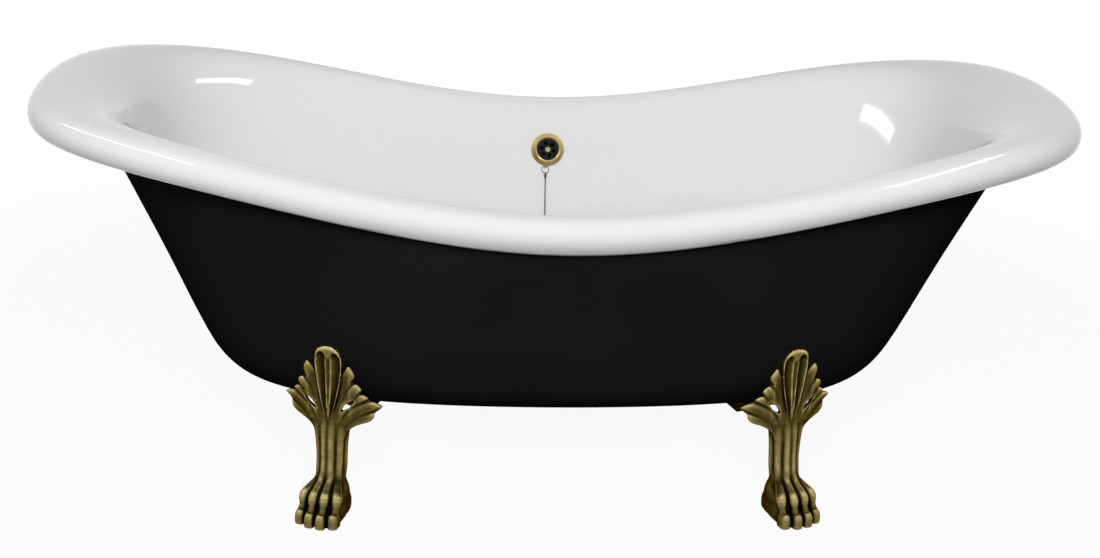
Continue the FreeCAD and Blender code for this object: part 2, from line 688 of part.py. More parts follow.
# The flange and tail of the waste, with a cross in its throat and slots that let the overflow in
def waste_flange():
    bottom = FLANGE_TOP - TAIL_LENGTH
    throat = SEAT_LEVEL - THROAT_HEIGHT
    flange = turned_solid([
        (TAIL_BORE_RADIUS, bottom),
        (TAIL_RADIUS, bottom),
        (TAIL_RADIUS, bottom + TAIL_THREAD),
        (TAIL_NECK_RADIUS, bottom + TAIL_THREAD),
        (TAIL_NECK_RADIUS, FLANGE_TOP - FLANGE_THICKNESS),
        (FLANGE_RADIUS, FLANGE_TOP - FLANGE_THICKNESS),
        (FLANGE_RADIUS, FLANGE_TOP - FLANGE_THICKNESS / 2),
        (FLANGE_RADIUS - FLANGE_THICKNESS, FLANGE_TOP),
        (SEAT_TOP_RADIUS, FLANGE_TOP),
        (SEAT_RADIUS, SEAT_LEVEL),
        (THROAT_RADIUS, SEAT_LEVEL),
        (THROAT_RADIUS, throat),
        (TAIL_BORE_RADIUS, throat),
    ])
    bars = []
    for angle in (0, 90):
        bar = centred_box(2 * TAIL_BORE_RADIUS, CROSS_WIDTH, throat, THROAT_HEIGHT)
        bar.rotate(ORIGIN, Z_AXIS, angle)
        bars.append(bar)
    slot_height = COLLAR_HEIGHT - 2 * COLLAR_LAND
    slots = []
    for angle in (45, 135):
        slot = centred_box(2 * COLLAR_RADIUS, TAIL_SLOT_WIDTH, COLLAR_BOTTOM + COLLAR_LAND, slot_height)
        slot.rotate(ORIGIN, Z_AXIS, angle)
        slots.append(slot)
    return flange.fuse(bars).cut(slots)


# The collar round the tail, hollow inside, with a spigot for the hose towards +Y
def waste_collar():
    ring = upright(COLLAR_RADIUS, COLLAR_BOTTOM, COLLAR_HEIGHT)
    reach = COLLAR_RADIUS + SPIGOT_COLLAR + SPIGOT_LENGTH
    centre = V(0, 0, HOSE_LEVEL)
    spigot = Part.makeCylinder(SPIGOT_RADIUS, reach, centre, Y_AXIS)
    shoulder = Part.makeCylinder(SPIGOT_COLLAR_RADIUS, COLLAR_RADIUS + SPIGOT_COLLAR, centre, Y_AXIS)
    groove = upright(COLLAR_GROOVE_RADIUS, COLLAR_BOTTOM + COLLAR_LAND, COLLAR_HEIGHT - 2 * COLLAR_LAND)
    bore = upright(TAIL_RADIUS + TAIL_CLEARANCE, COLLAR_BOTTOM, COLLAR_HEIGHT)
    hose_bore = Part.makeCylinder(SPIGOT_BORE_RADIUS, reach, centre, Y_AXIS)
    return ring.fuse([spigot, shoulder]).cut([groove, bore, hose_bore])


def waste_nut():
    bottom = NUT_TOP - NUT_HEIGHT
    nut = hexagon(NUT_RADIUS, bottom, NUT_HEIGHT)
    return nut.cut(upright(TAIL_NECK_RADIUS + THREAD_CLEARANCE, bottom, NUT_HEIGHT))


def plug_stopper():
    height = CAP_BOTTOM - SEAT_LEVEL
    slope = (SEAT_TOP_RADIUS - SEAT_RADIUS) / SEAT_DEPTH
    bottom_radius = SEAT_RADIUS - PLUG_CLEARANCE
    body = Part.makeCone(bottom_radius, bottom_radius + slope * height, height, V(0, 0, SEAT_LEVEL))
    depth = CAP_STEM_LENGTH + PLUG_CLEARANCE
    return body.cut(upright(CAP_STEM_RADIUS + THREAD_CLEARANCE, CAP_BOTTOM - depth, depth))


def plug_cap():
    return turned_solid([
        (0, CAP_BOTTOM - CAP_STEM_LENGTH),
        (CAP_STEM_RADIUS, CAP_BOTTOM - CAP_STEM_LENGTH),
        (CAP_STEM_RADIUS, CAP_BOTTOM),
        (CAP_RADIUS, CAP_BOTTOM),
        (CAP_RADIUS, CAP_TOP - CAP_EDGE),
        (CAP_RADIUS - CAP_EDGE, CAP_TOP),
        (0, CAP_TOP),
    ])


def plug_eye():
    tab = centred_box(EYE_WIDTH, EYE_DEPTH, CAP_TOP, EYE_HEIGHT)
    side = V(-EYE_WIDTH / 2, 0, CAP_TOP + EYE_HOLE_RISE)
    return tab.cut(Part.makeCylinder(EYE_HOLE_RADIUS, EYE_WIDTH, side, X_AXIS))


# A wire ring that hangs from the origin along +Y
def wire_ring():
    return Part.makeTorus(RING_RADIUS, RING_WIRE_RADIUS, V(0, RING_RADIUS, 0), Z_AXIS)


# A clasp whose loop goes round a ring at the origin, with its sleeve along +Y
def clasp():
    play = CLASP_LOOP_RADIUS - CLASP_LOOP_WIRE - RING_WIRE_RADIUS - CLASP_PLAY
    loop = Part.makeTorus(CLASP_LOOP_RADIUS, CLASP_LOOP_WIRE, V(0, play, 0), X_AXIS)
    sleeve = Part.makeCylinder(CLASP_RADIUS, CLASP_LENGTH, V(0, play + CLASP_LOOP_RADIUS, 0), Y_AXIS)
    return loop.fuse(sleeve)


def plug_ring():
    ring = wire_ring()
    ring.rotate(ORIGIN, X_AXIS, -PLUG_RING_DEGREES)
    ring.translate(V(0, 0, CAP_TOP + EYE_HOLE_RISE))
    return ring


def plug_clasp():
    part = clasp()
    lean = math.radians(PLUG_RING_DEGREES)
    across = 2 * RING_RADIUS
    part.translate(V(0, across * math.cos(lean), CAP_TOP + EYE_HOLE_RISE - across * math.sin(lean)))
    return part


def overflow_bezel():
    front = OVERFLOW_SEAT + SEAL_THICKNESS
    ring = turned_solid([
        (BEZEL_LEDGE_RADIUS, front),
        (BEZEL_RADIUS, front),
        (BEZEL_RADIUS, front + BEZEL_EDGE),
        (BEZEL_OPENING_RADIUS + BEZEL_EDGE, front + BEZEL_THICKNESS),
        (BEZEL_OPENING_RADIUS, front + BEZEL_THICKNESS - BEZEL_EDGE / 2),
        (BEZEL_OPENING_RADIUS, front + BEZEL_LEDGE),
        (BEZEL_LEDGE_RADIUS, front + BEZEL_LEDGE),
    ])
    base = V(EYELET_OFFSET - EYELET_WIDTH / 2, -EYELET_REACH, front)
    end = V(EYELET_OFFSET - EYELET_WIDTH / 2, -EYELET_REACH, EYELET_DEPTH)
    eyelet = Part.makeCylinder(EYELET_HALF_HEIGHT, EYELET_WIDTH, end, X_AXIS)
    arm = Part.makeBox(EYELET_WIDTH, EYELET_REACH - BEZEL_RADIUS + BEZEL_EDGE, BEZEL_EDGE, base)
    hole = Part.makeCylinder(EYE_HOLE_RADIUS, EYELET_WIDTH, end, X_AXIS)
    return on_overflow_wall(ring.fuse([eyelet, arm]).cut(hole))


def overflow_rose():
    bottom = OVERFLOW_SEAT + SEAL_THICKNESS + BEZEL_LEDGE
    rose = upright(BEZEL_OPENING_RADIUS - ROSE_CLEARANCE, bottom, ROSE_THICKNESS)
    holes = [upright(SCREW_RADIUS + ROSE_CLEARANCE, bottom, ROSE_THICKNESS)]
    for index in range(ROSE_HOLES):
        turn = 2 * math.pi * index / ROSE_HOLES + math.radians(ROSE_TURN_DEGREES)
        place = V(ROSE_PITCH_RADIUS * math.cos(turn), ROSE_PITCH_RADIUS * math.sin(turn), bottom)
        holes.append(Part.makeCylinder(ROSE_HOLE_RADIUS, ROSE_THICKNESS, place))
    return on_overflow_wall(rose.cut(holes))


def overflow_screw():
    head_bottom = OVERFLOW_SEAT + SEAL_THICKNESS + BEZEL_LEDGE + ROSE_THICKNESS
    length = head_bottom + SHELL_WALL + SCREW_THREAD
    head = upright(SCREW_HEAD_RADIUS, head_bottom, SCREW_HEAD_HEIGHT)
    shank = upright(SCREW_RADIUS, head_bottom - length, length)
    slot_bottom = head_bottom + SCREW_HEAD_HEIGHT - SCREW_SLOT
    slot = centred_box(2 * SCREW_HEAD_RADIUS, SCREW_SLOT, slot_bottom, SCREW_SLOT)
    slot.rotate(ORIGIN, Z_AXIS, SCREW_TURN_DEGREES)
    return on_overflow_wall(head.fuse(shank).cut(slot))


def overflow_seal(outer, bottom, thickness):
    return on_overflow_wall(tube(outer, OVERFLOW_HOLE_RADIUS, bottom, thickness))


def back_face():
    return -SHELL_WALL - OVERFLOW_SEAT


# The elbow behind the wall: a cup with a boss for the screw and a spigot down the wall
def overflow_elbow():
    top = back_face() - BACK_SEAL_THICKNESS
    bottom = top - ELBOW_DEPTH
    flange = upright(ELBOW_FLANGE_RADIUS, top - ELBOW_FLANGE, ELBOW_FLANGE)
    cup = upright(ELBOW_RADIUS, bottom, ELBOW_DEPTH)
    centre = V(0, 0, elbow_middle())
    shoulder = Part.makeCylinder(SPIGOT_COLLAR_RADIUS, ELBOW_RADIUS + SPIGOT_COLLAR, centre, -Y_AXIS)
    reach = ELBOW_RADIUS + SPIGOT_COLLAR + SPIGOT_LENGTH
    spigot = Part.makeCylinder(SPIGOT_RADIUS, reach, centre, -Y_AXIS)
    hollow = upright(ELBOW_RADIUS - ELBOW_WALL, bottom + ELBOW_WALL, ELBOW_DEPTH - ELBOW_WALL)
    bore = Part.makeCylinder(SPIGOT_BORE_RADIUS, reach, centre, -Y_AXIS)
    boss = upright(ELBOW_BOSS_RADIUS, bottom, -SHELL_WALL - bottom)
    screw_hole = upright(SCREW_RADIUS + THREAD_CLEARANCE, bottom + ELBOW_WALL, ELBOW_DEPTH)
    body = flange.fuse([cup, shoulder, spigot]).cut([hollow, bore])
    return on_overflow_wall(body.fuse(boss).cut(screw_hole))


def elbow_middle():
    return back_face() - BACK_SEAL_THICKNESS - ELBOW_DEPTH + SPIGOT_COLLAR_RADIUS


# The hose's line: down along the wall, one bend, and in along the floor to the collar
def hose_line():
    start_part = Part.Vertex(0, -ELBOW_RADIUS - SPIGOT_COLLAR, elbow_middle())
    start = on_overflow_wall(start_part).Point
    finish = V(0, COLLAR_RADIUS + SPIGOT_COLLAR, HOSE_LEVEL)
    corner = V(0, start.y - SIDE_LEAN_SHARE * (start.z - HOSE_LEVEL), HOSE_LEVEL)
    return start, corner, finish


# Straight runs between points, joined by tangent arcs of the given radii
def rounded_path(points, radii):
    edges = []
    begin = points[0]
    for before, corner, after, radius in zip(points, points[1:], points[2:], radii):
        inward = (before - corner).normalize()
        onward = (after - corner).normalize()
        half_turn = (math.pi - inward.getAngle(onward)) / 2
        tangent = radius * math.tan(half_turn)
        bisector = (inward + onward).normalize()
        middle = corner + bisector * (radius / math.cos(half_turn) - radius)
        first = corner + inward * tangent
        last = corner + onward * tangent
        edges.append(Part.LineSegment(begin, first).toShape())
        edges.append(Part.Arc(first, middle, last).toShape())
        begin = last
    edges.append(Part.LineSegment(begin, points[-1]).toShape())
    return Part.Wire(edges)


def swept(path, start, direction, radius):
    profile = Part.Wire([Part.makeCircle(radius, start, direction)])
    return path.makePipeShell([profile], True, False)


def overflow_hose():
    line = hose_line()
    path = rounded_path(line, [HOSE_BEND_RADIUS])
    direction = line[1] - line[0]
    return swept(path, line[0], direction, HOSE_RADIUS).cut(swept(path, line[0], direction, HOSE_BORE_RADIUS))


def hose_clips():
    start, corner, finish = hose_line()
    inner = HOSE_RADIUS + CLIP_CLEARANCE
    clips = []
    for place in (start, finish):
        along = (corner - place).normalize()
        base = place + along * CLIP_INSET
        band = Part.makeCylinder(inner + CLIP_THICKNESS, CLIP_WIDTH, base, along)
        clips.append(band.cut(Part.makeCylinder(inner, CLIP_WIDTH, base, along)))
    return Part.makeCompound(clips)


def overflow_ring():
    ring = wire_ring()
    ring.rotate(ORIGIN, Z_AXIS, 180)
    ring.translate(V(EYELET_OFFSET, -EYELET_REACH, EYELET_DEPTH))
    return on_overflow_wall(ring)


def overflow_clasp():
    part = clasp()
    part.rotate(ORIGIN, Z_AXIS, 180)
    part.translate(V(EYELET_OFFSET, -EYELET_REACH - 2 * RING_RADIUS, EYELET_DEPTH))
    return on_overflow_wall(part)


# The chain as a plain round cord along its route, with each bend as large as its runs allow
def chain():
    points = [V(*point) for point in CHAIN_ROUTE]
    radii = []
    for before, corner, after in zip(points, points[1:], points[2:]):
        half_turn = (math.pi - (before - corner).getAngle(after - corner)) / 2
        run = min(before.distanceToPoint(corner), after.distanceToPoint(corner))
        radii.append(CHAIN_ARC_SHARE * run / math.tan(half_turn))
    path = rounded_path(points, radii)
    cord = swept(path, points[0], points[1] - points[0], CHAIN_RADIUS)
    section = math.pi * CHAIN_RADIUS ** 2
    print("chain radii", [round(radius, 1) for radius in radii])
    print("chain length", round(path.Length, 1), "volume over section", round(cord.Volume / section, 1))
    return cord


def main():
    os.makedirs("parts", exist_ok=True)
    bolt = foot_placement().multVec(V(0, LUG_BOLT_REACH, 0))
    bolt_places = [(bolt.x, bolt.y), (-bolt.x, bolt.y), (bolt.x, -bolt.y), (-bolt.x, -bolt.y)]

    save("inner_shell", inner_shell())
    save("outer_shell", outer_shell(bolt_places))
    save("base_board", base_board())

    corners = (
        ("front_left", ()),
        ("front_right", (X_AXIS,)),
        ("rear_left", (Y_AXIS,)),
        ("rear_right", (X_AXIS, Y_AXIS)),
    )
    for kind, front_left in (("foot_", foot()), ("leveller_", leveller())):
        for name, mirrors in corners:
            shape = front_left
            for axis in mirrors:
                shape = shape.mirror(ORIGIN, axis)
            save(kind + name, shape)

    for name, make in (
        ("mount_blocks", mount_block),
        ("foot_inserts", foot_insert),
        ("foot_washers", foot_washer),
        ("foot_bolts", foot_bolt),
    ):
        save(name, Part.makeCompound([make().translated(V(x, y, 0)) for x, y in bolt_places]))

    save("waste_flange", waste_flange())
    save("waste_seal_top", tube(FLANGE_RADIUS, TAIL_RADIUS + TAIL_CLEARANCE, FLOOR_HEIGHT, SEAL_THICKNESS))
    for name, bottom in (("waste_seal_bottom", COLLAR_TOP), ("waste_nut_seal", NUT_TOP)):
        save(name, tube(WASHER_SEAL_RADIUS, TAIL_RADIUS + TAIL_CLEARANCE, bottom, WASHER_SEAL_THICKNESS))
    save("waste_collar", waste_collar())
    save("waste_nut", waste_nut())

    save("plug_stopper", plug_stopper())
    save("plug_cap", plug_cap())
    save("plug_eye", plug_eye())
    save("plug_ring", plug_ring())
    save("chain_coupling_bottom", plug_clasp())

    save("overflow_bezel", overflow_bezel())
    save("overflow_rose", overflow_rose())
    save("overflow_screw", overflow_screw())
    save("overflow_seal_front", overflow_seal(BEZEL_RADIUS - BEZEL_EDGE, OVERFLOW_SEAT, SEAL_THICKNESS))
    save(
        "overflow_seal_back",
        overflow_seal(ELBOW_FLANGE_RADIUS, back_face() - BACK_SEAL_THICKNESS, BACK_SEAL_THICKNESS),
    )
    save("overflow_elbow", overflow_elbow())
    save("overflow_hose", overflow_hose())
    save("hose_clips", hose_clips())
    save("overflow_ring", overflow_ring())
    save("chain_coupling_top", overflow_clasp())
    save("chain", chain())


main()
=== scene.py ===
import json
import math

import bpy
import numpy as np
from mathutils import Matrix, Vector
from mathutils.bvhtree import BVHTree


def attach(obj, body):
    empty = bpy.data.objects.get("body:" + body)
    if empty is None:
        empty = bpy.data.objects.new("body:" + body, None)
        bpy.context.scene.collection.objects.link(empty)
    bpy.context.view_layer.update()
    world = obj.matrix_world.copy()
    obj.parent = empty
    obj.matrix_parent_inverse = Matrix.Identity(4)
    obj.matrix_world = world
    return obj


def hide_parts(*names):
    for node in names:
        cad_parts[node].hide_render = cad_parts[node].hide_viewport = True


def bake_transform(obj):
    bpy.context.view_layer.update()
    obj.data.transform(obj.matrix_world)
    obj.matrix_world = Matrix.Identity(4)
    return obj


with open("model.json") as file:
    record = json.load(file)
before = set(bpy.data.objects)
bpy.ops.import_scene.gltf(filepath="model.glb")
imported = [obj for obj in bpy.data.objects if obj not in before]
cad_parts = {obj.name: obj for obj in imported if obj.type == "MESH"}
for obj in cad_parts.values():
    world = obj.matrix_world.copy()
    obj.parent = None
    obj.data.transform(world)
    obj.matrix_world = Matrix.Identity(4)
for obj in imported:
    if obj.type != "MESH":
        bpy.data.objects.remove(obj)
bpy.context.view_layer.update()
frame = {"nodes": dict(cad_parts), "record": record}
scene = bpy.context.scene
nodes = frame["nodes"]
MM = 0.001
NEAR_ZERO = 1e-9

# Camera at the photograph's viewing angle, in its 1100 by 558 frame
FRAME_WIDTH = 1100.0
FRAME_HEIGHT = 558.0
FOCAL_PX = 1627.67
CENTRE_PX = (557.57, 191.61)
CAMERA_DISTANCE = 3.0387
CAMERA_AZIMUTH = math.radians(-4.4553)
CAMERA_ELEVATION = math.radians(18.9208)
CAMERA_ROLL = math.radians(2.2385)
CAMERA_TARGET = Vector((0.0, 0.0, 0.4934))
SENSOR_MM = 36.0
CAMERA_CLIP = 100.0

# Chain from the overflow's clasp to the plug's clasp: route and balls in millimetres, length in metres
CHAIN_ROUTE = (
    (-4.0, 286.8, 424.75), (-4.0, 243.3, 303.9), (-5.0, 219.6, 253.0), (-9.0, 190.2, 219.4),
    (-15.0, 153.5, 199.2), (-20.0, 112.0, 192.2), (-17.0, 78.0, 192.0), (-6.0, 54.0, 193.2),
    (0.0, 38.0, 199.5), (0.0, 23.25, 199.5),
)
BEAD_RADIUS = 1.6
BEAD_PITCH = 4.4
LINK_RADIUS = 0.4
ROUTE_ORDER = 3
ROUTE_STEPS = 40
BALL_STEPS = 10
BALL_SEGMENTS = 16
LINK_SEGMENTS = 8

# Feet, in millimetres in the foot's own frame: x across, -y towards the toes, z up
FOOT_X = 397.0
FOOT_Y = 275.0
FOOT_SPLAY = math.radians(20.0)
FOOT_LOW = (-101.0, -122.0, -4.0)
FOOT_HIGH = (101.0, 211.0, 319.0)
FINE_PITCH = 1.4
CLAY_PITCH = FINE_PITCH
SKIN_GAP = 0.7
UNDERSIDE = 139.0
UNDERSIDE_START = 125.0
LUG_BOTTOM = 119.0
LUG_END = 207.0
LUG_BOLT = 185.0
BOLT_HOLE_RADIUS = 5.6
BOLT_HOLE_HEIGHTS = (100.0, 160.0)
LEVELLER_AHEAD = 46.0
LEVELLER_PIT_RADIUS = 17.0
LEVELLER_PIT_HEIGHTS = (-9.0, 6.2)
LEVELLER_HOLE_RADIUS = 5.6
LEVELLER_HOLE_HEIGHTS = (-9.0, 40.0)


# Materials: colours are linear, noise scales are per metre, and bumps have a depth in metres and a strength
DARK_STOP = 0.3
LIGHT_STOP = 0.7
EVEN = (1.0, 1.0, 1.0)


def colour(value):
    return (*value, 1.0)


class Shader:
    """A node material around one principled shader."""

    def __init__(self, name):
        self.material = bpy.data.materials.new(name)
        self.material.use_nodes = True
        self.tree = self.material.node_tree
        self.bsdf = self.tree.nodes["Principled BSDF"]
        self.place = self.node("ShaderNodeTexCoord").outputs["Object"]

    def node(self, kind, **values):
        made = self.tree.nodes.new(kind)
        for key, value in values.items():
            setattr(made, key, value)
        return made

    def link(self, source, target):
        self.tree.links.new(source, target)

    def set(self, **values):
        for key, value in values.items():
            self.bsdf.inputs[key.replace("_", " ")].default_value = value

    def noise(self, scale, detail=3.0, stretch=EVEN):
        mapping = self.node("ShaderNodeMapping")
        mapping.inputs["Scale"].default_value = stretch
        self.link(self.place, mapping.inputs["Vector"])
        made = self.node("ShaderNodeTexNoise")
        made.inputs["Scale"].default_value = scale
        made.inputs["Detail"].default_value = detail
        self.link(mapping.outputs["Vector"], made.inputs["Vector"])
        return made.outputs["Fac"]

    def ramp(self, source, stops):
        made = self.node("ShaderNodeValToRGB")
        elements = made.color_ramp.elements
        while len(elements) < len(stops):
            elements.new(0.5)
        for element, (position, value) in zip(elements, stops):
            element.position = position
            element.color = colour(value)
        self.link(source, made.inputs["Fac"])
        return made.outputs["Color"]

    def span(self, source, low, high):
        made = self.node("ShaderNodeMapRange")
        made.inputs["To Min"].default_value = low
        made.inputs["To Max"].default_value = high
        self.link(source, made.inputs["Value"])
        return made.outputs["Result"]

    def maths(self, operation, first, second):
        made = self.node("ShaderNodeMath", operation=operation)
        for index, value in enumerate((first, second)):
            if isinstance(value, (int, float)):
                made.inputs[index].default_value = value
            else:
                self.link(value, made.inputs[index])
        return made.outputs["Value"]

    def paint(self, source, dark, light):
        tones = self.ramp(source, ((DARK_STOP, dark), (LIGHT_STOP, light)))
        self.link(tones, self.bsdf.inputs["Base Color"])

    def dull(self, source, low, high):
        self.link(self.span(source, low, high), self.bsdf.inputs["Roughness"])

    def bump(self, source, distance, strength):
        made = self.node("ShaderNodeBump")
        made.inputs["Distance"].default_value = distance
        made.inputs["Strength"].default_value = strength
        self.link(source, made.inputs["Height"])
        self.link(made.outputs["Normal"], self.bsdf.inputs["Normal"])


def acrylic(name, tone, gloss, ripple, dark, light, rough, bump, **values):
    """Smooth plastic: scales of its tone, gloss and ripple, then its colours, roughness and bump."""
    shader = Shader(name)
    shader.paint(shader.noise(tone), dark, light)
    shader.dull(shader.noise(gloss), *rough)
    shader.bump(shader.noise(ripple, detail=2.0), *bump)
    shader.set(**values)
    return shader.material


def grained(name, dark, light, rough, grain, bump, detail=4.0, stretch=EVEN, **values):
    """A material whose tone, roughness and bump follow one noise."""
    shader = Shader(name)
    tone = shader.noise(grain, detail, stretch)
    shader.paint(tone, dark, light)
    shader.dull(tone, *rough)
    shader.bump(tone, *bump)
    shader.set(**values)
    return shader.material


# Antique brass from the dark hollows and painted shade to the worn ridges and painted highlights: wear with
# painted light, and colour
BRASS_TONES = (
    (0.10, (0.010, 0.0078, 0.002)), (0.34, (0.034, 0.026, 0.006)), (0.54, (0.080, 0.061, 0.016)),
    (0.72, (0.23, 0.182, 0.063)), (0.92, (0.68, 0.57, 0.27)),
)
BRASS_ROUGH = (0.58, 0.30)
BRASS_EDGE = (0.34, 0.28, 0.14)
BRASS_BUMP = (0.0004, 0.05)
MOTTLE_SCALE = 70.0
MOTTLE_SHARE = 0.08
CAST_SCALE = 330.0


def antique_brass():
    shader = Shader("antique_brass")
    # The relief attribute holds wear together with painted highlight and painted shade on the feet.
    relief = shader.node("ShaderNodeAttribute", attribute_name="relief").outputs["Fac"]
    mottle = shader.span(shader.noise(MOTTLE_SCALE, detail=5.0), -MOTTLE_SHARE, MOTTLE_SHARE)
    wear_with_painted_light = shader.maths("ADD", relief, mottle)
    shader.link(shader.ramp(wear_with_painted_light, BRASS_TONES), shader.bsdf.inputs["Base Color"])
    shader.dull(wear_with_painted_light, *BRASS_ROUGH)
    shader.set(Metallic=1.0, Specular_Tint=colour(BRASS_EDGE))
    shader.bump(shader.noise(CAST_SCALE, detail=4.0), *BRASS_BUMP)
    return shader.material


METAL_BUMP = (0.0001, 0.2)
MATERIALS = {
    "white_acrylic": acrylic(
        "white_acrylic", tone=3.0, gloss=9.0, ripple=26.0, dark=(0.80, 0.803, 0.80),
        light=(0.825, 0.825, 0.82), rough=(0.05, 0.09), bump=(0.0004, 0.06), Coat_Weight=0.35,
        Coat_Roughness=0.02,
    ),
    "black_acrylic": acrylic(
        "black_acrylic", tone=5.0, gloss=14.0, ripple=420.0, dark=(0.0128, 0.0130, 0.0130),
        light=(0.0158, 0.0158, 0.0152), rough=(0.62, 0.72), bump=(0.0002, 0.08), Specular_IOR_Level=0.0,
    ),
    "antique_brass": antique_brass(),
    "brass": grained(
        "brass", dark=(0.42, 0.31, 0.12), light=(0.62, 0.49, 0.22), rough=(0.24, 0.36), grain=300.0,
        bump=METAL_BUMP, Metallic=1.0,
    ),
    "chain_metal": grained(
        "chain_metal", dark=(0.045, 0.038, 0.024), light=(0.12, 0.10, 0.062), rough=(0.22, 0.34), grain=500.0,
        bump=METAL_BUMP, Metallic=1.0,
    ),
    "steel": grained(
        "steel", dark=(0.42, 0.42, 0.42), light=(0.60, 0.60, 0.58), rough=(0.3, 0.45), grain=220.0,
        bump=METAL_BUMP, Metallic=1.0,
    ),
    "black_plastic": grained(
        "black_plastic", dark=(0.006, 0.006, 0.008), light=(0.010, 0.010, 0.012), rough=(0.30, 0.42),
        grain=260.0, bump=(0.0002, 0.3), Specular_IOR_Level=0.15,
    ),
    "rubber": grained(
        "rubber", dark=(0.02, 0.02, 0.02), light=(0.035, 0.034, 0.033), rough=(0.6, 0.8), grain=200.0,
        bump=(0.0003, 0.3),
    ),
    "board": grained(
        "board", dark=(0.28, 0.17, 0.08), light=(0.52, 0.37, 0.21), rough=(0.55, 0.75), grain=16.0,
        bump=(0.0006, 0.4), detail=6.0, stretch=(1.0, 9.0, 9.0),
    ),
}
for entry in frame["record"]["subparts"]:
    target = nodes[entry["node"]]
    target.data.materials.clear()
    target.data.materials.append(MATERIALS[entry["material_slot"]])


def add_mesh(name, points, faces, slot):
    mesh = bpy.data.meshes.new(name)
    mesh.from_pydata([tuple(point) for point in points], [], [tuple(face) for face in faces])
    mesh.polygons.foreach_set("use_smooth", [True] * len(mesh.polygons))
    mesh.materials.append(MATERIALS[slot])
    made = bpy.data.objects.new(name, mesh)
    scene.collection.objects.link(made)
    return made


# Chain: balls on a thin link along the route's smooth line
def chain_line():
    curve = bpy.data.curves.new("chain_line", "CURVE")
    curve.dimensions = "3D"
    spline = curve.splines.new("NURBS")
    spline.points.add(len(CHAIN_ROUTE) - 1)
    for point, place in zip(spline.points, CHAIN_ROUTE):
        point.co = (*(MM * value for value in place), 1.0)
    spline.order_u = ROUTE_ORDER
    spline.use_endpoint_u = True
    spline.resolution_u = ROUTE_STEPS
    holder = bpy.data.objects.new("chain_line", curve)
    scene.collection.objects.link(holder)
    bpy.context.view_layer.update()
    mesh = bpy.data.meshes.new_from_object(holder)
    line = np.array([vertex.co for vertex in mesh.vertices])
    bpy.data.meshes.remove(mesh)
    bpy.data.objects.remove(holder)
    bpy.data.curves.remove(curve)
    return line


def along(line, count):
    steps = np.linalg.norm(np.diff(line, axis=0), axis=1)
    run = np.concatenate(([0.0], np.cumsum(steps)))
    places = np.linspace(0.0, run[-1], count)
    return np.stack([np.interp(places, run, line[:, axis]) for axis in range(3)], axis=1)


def turned(profile, segments):
    """Points and faces of a profile of (radius, height) turned about z; a zero radius closes it."""
    points = []
    faces = []
    rows = []
    for radius, height in profile:
        if radius < NEAR_ZERO:
            rows.append([len(points)] * segments)
            points.append((0.0, 0.0, height))
            continue
        rows.append(list(range(len(points), len(points) + segments)))
        for step in range(segments):
            turn = 2 * math.pi * step / segments
            points.append((radius * math.cos(turn), radius * math.sin(turn), height))
    for below, above in zip(rows, rows[1:]):
        for step in range(segments):
            after = (step + 1) % segments
            face = []
            for corner in (below[step], below[after], above[after], above[step]):
                if corner not in face:
                    face.append(corner)
            faces.append(face)
    return points, faces


def axes_along(direction):
    third = Vector(direction).normalized()
    first = third.orthogonal().normalized()
    return Matrix((first, third.cross(first), third)).transposed()


def make_chain():
    line = chain_line()
    length = np.linalg.norm(np.diff(line, axis=0), axis=1).sum()
    beads = along(line, int(round(length / (BEAD_PITCH * MM))) + 1)
    arc = [math.pi * step / BALL_STEPS - math.pi / 2 for step in range(BALL_STEPS + 1)]
    ball = [(BEAD_RADIUS * MM * math.cos(a), BEAD_RADIUS * MM * math.sin(a)) for a in arc]
    ball[0] = (0.0, ball[0][1])
    ball[-1] = (0.0, ball[-1][1])
    ball_points, ball_faces = turned(ball, BALL_SEGMENTS)
    points = []
    faces = []
    for index, bead in enumerate(beads):
        ahead = beads[min(index + 1, len(beads) - 1)] - beads[max(index - 1, 0)]
        turn = axes_along(ahead)
        start = len(points)
        points += [turn @ Vector(point) + Vector(bead) for point in ball_points]
        faces += [[start + corner for corner in face] for face in ball_faces]
        if index + 1 < len(beads):
            link = beads[index + 1] - bead
            span = float(np.linalg.norm(link))
            rod = [(0.0, 0.0), (LINK_RADIUS * MM, 0.0), (LINK_RADIUS * MM, span), (0.0, span)]
            rod_points, rod_faces = turned(rod, LINK_SEGMENTS)
            turn = axes_along(link)
            start = len(points)
            points += [turn @ Vector(point) + Vector(bead) for point in rod_points]
            faces += [[start + corner for corner in face] for face in rod_faces]
    chain = add_mesh("bead_chain", points, faces, "chain_metal")
    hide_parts("chain")
    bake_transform(chain)


make_chain()


# Feet: a field of signed distances that forms are blended into and carved out of
FAR = 60.0
DEEPEST = -30.0
MARGIN = 3.0
BLOCK_REACH_SHARE = 1.3
TAPER_MOST = 1.2
SIZE_LEAST = 1e-6
SLOPE_LEAST = 1e-4
CELL_END = 1.001


class Clay:
    def __init__(self, low, high, pitch):
        self.low = np.array(low)
        self.pitch = pitch
        self.axes = [np.arange(low[i], high[i] + pitch, pitch) for i in range(3)]
        self.field = np.full([len(axis) for axis in self.axes], FAR, np.float32)

    def part(self, low, high):
        slices = []
        for axis, bottom, top in zip(self.axes, low, high):
            first = max(int(np.searchsorted(axis, bottom)) - 1, 0)
            last = min(int(np.searchsorted(axis, top)) + 1, len(axis))
            slices.append(slice(first, last))
        grids = np.meshgrid(*[axis[cut] for axis, cut in zip(self.axes, slices)], indexing="ij", sparse=True)
        return tuple(slices), grids

    def add(self, form, low, high, soft):
        place, grids = self.part(low, high)
        old = self.field[place]
        new = form(*grids)
        share = np.clip(0.5 + 0.5 * (old - new) / soft, 0.0, 1.0)
        self.field[place] = old + (new - old) * share - soft * share * (1.0 - share)

    def carve(self, form, low, high, soft):
        place, grids = self.part(low, high)
        old = self.field[place]
        new = -form(*grids)
        share = np.clip(0.5 + 0.5 * (new - old) / soft, 0.0, 1.0)
        self.field[place] = old + (new - old) * share + soft * share * (1.0 - share)


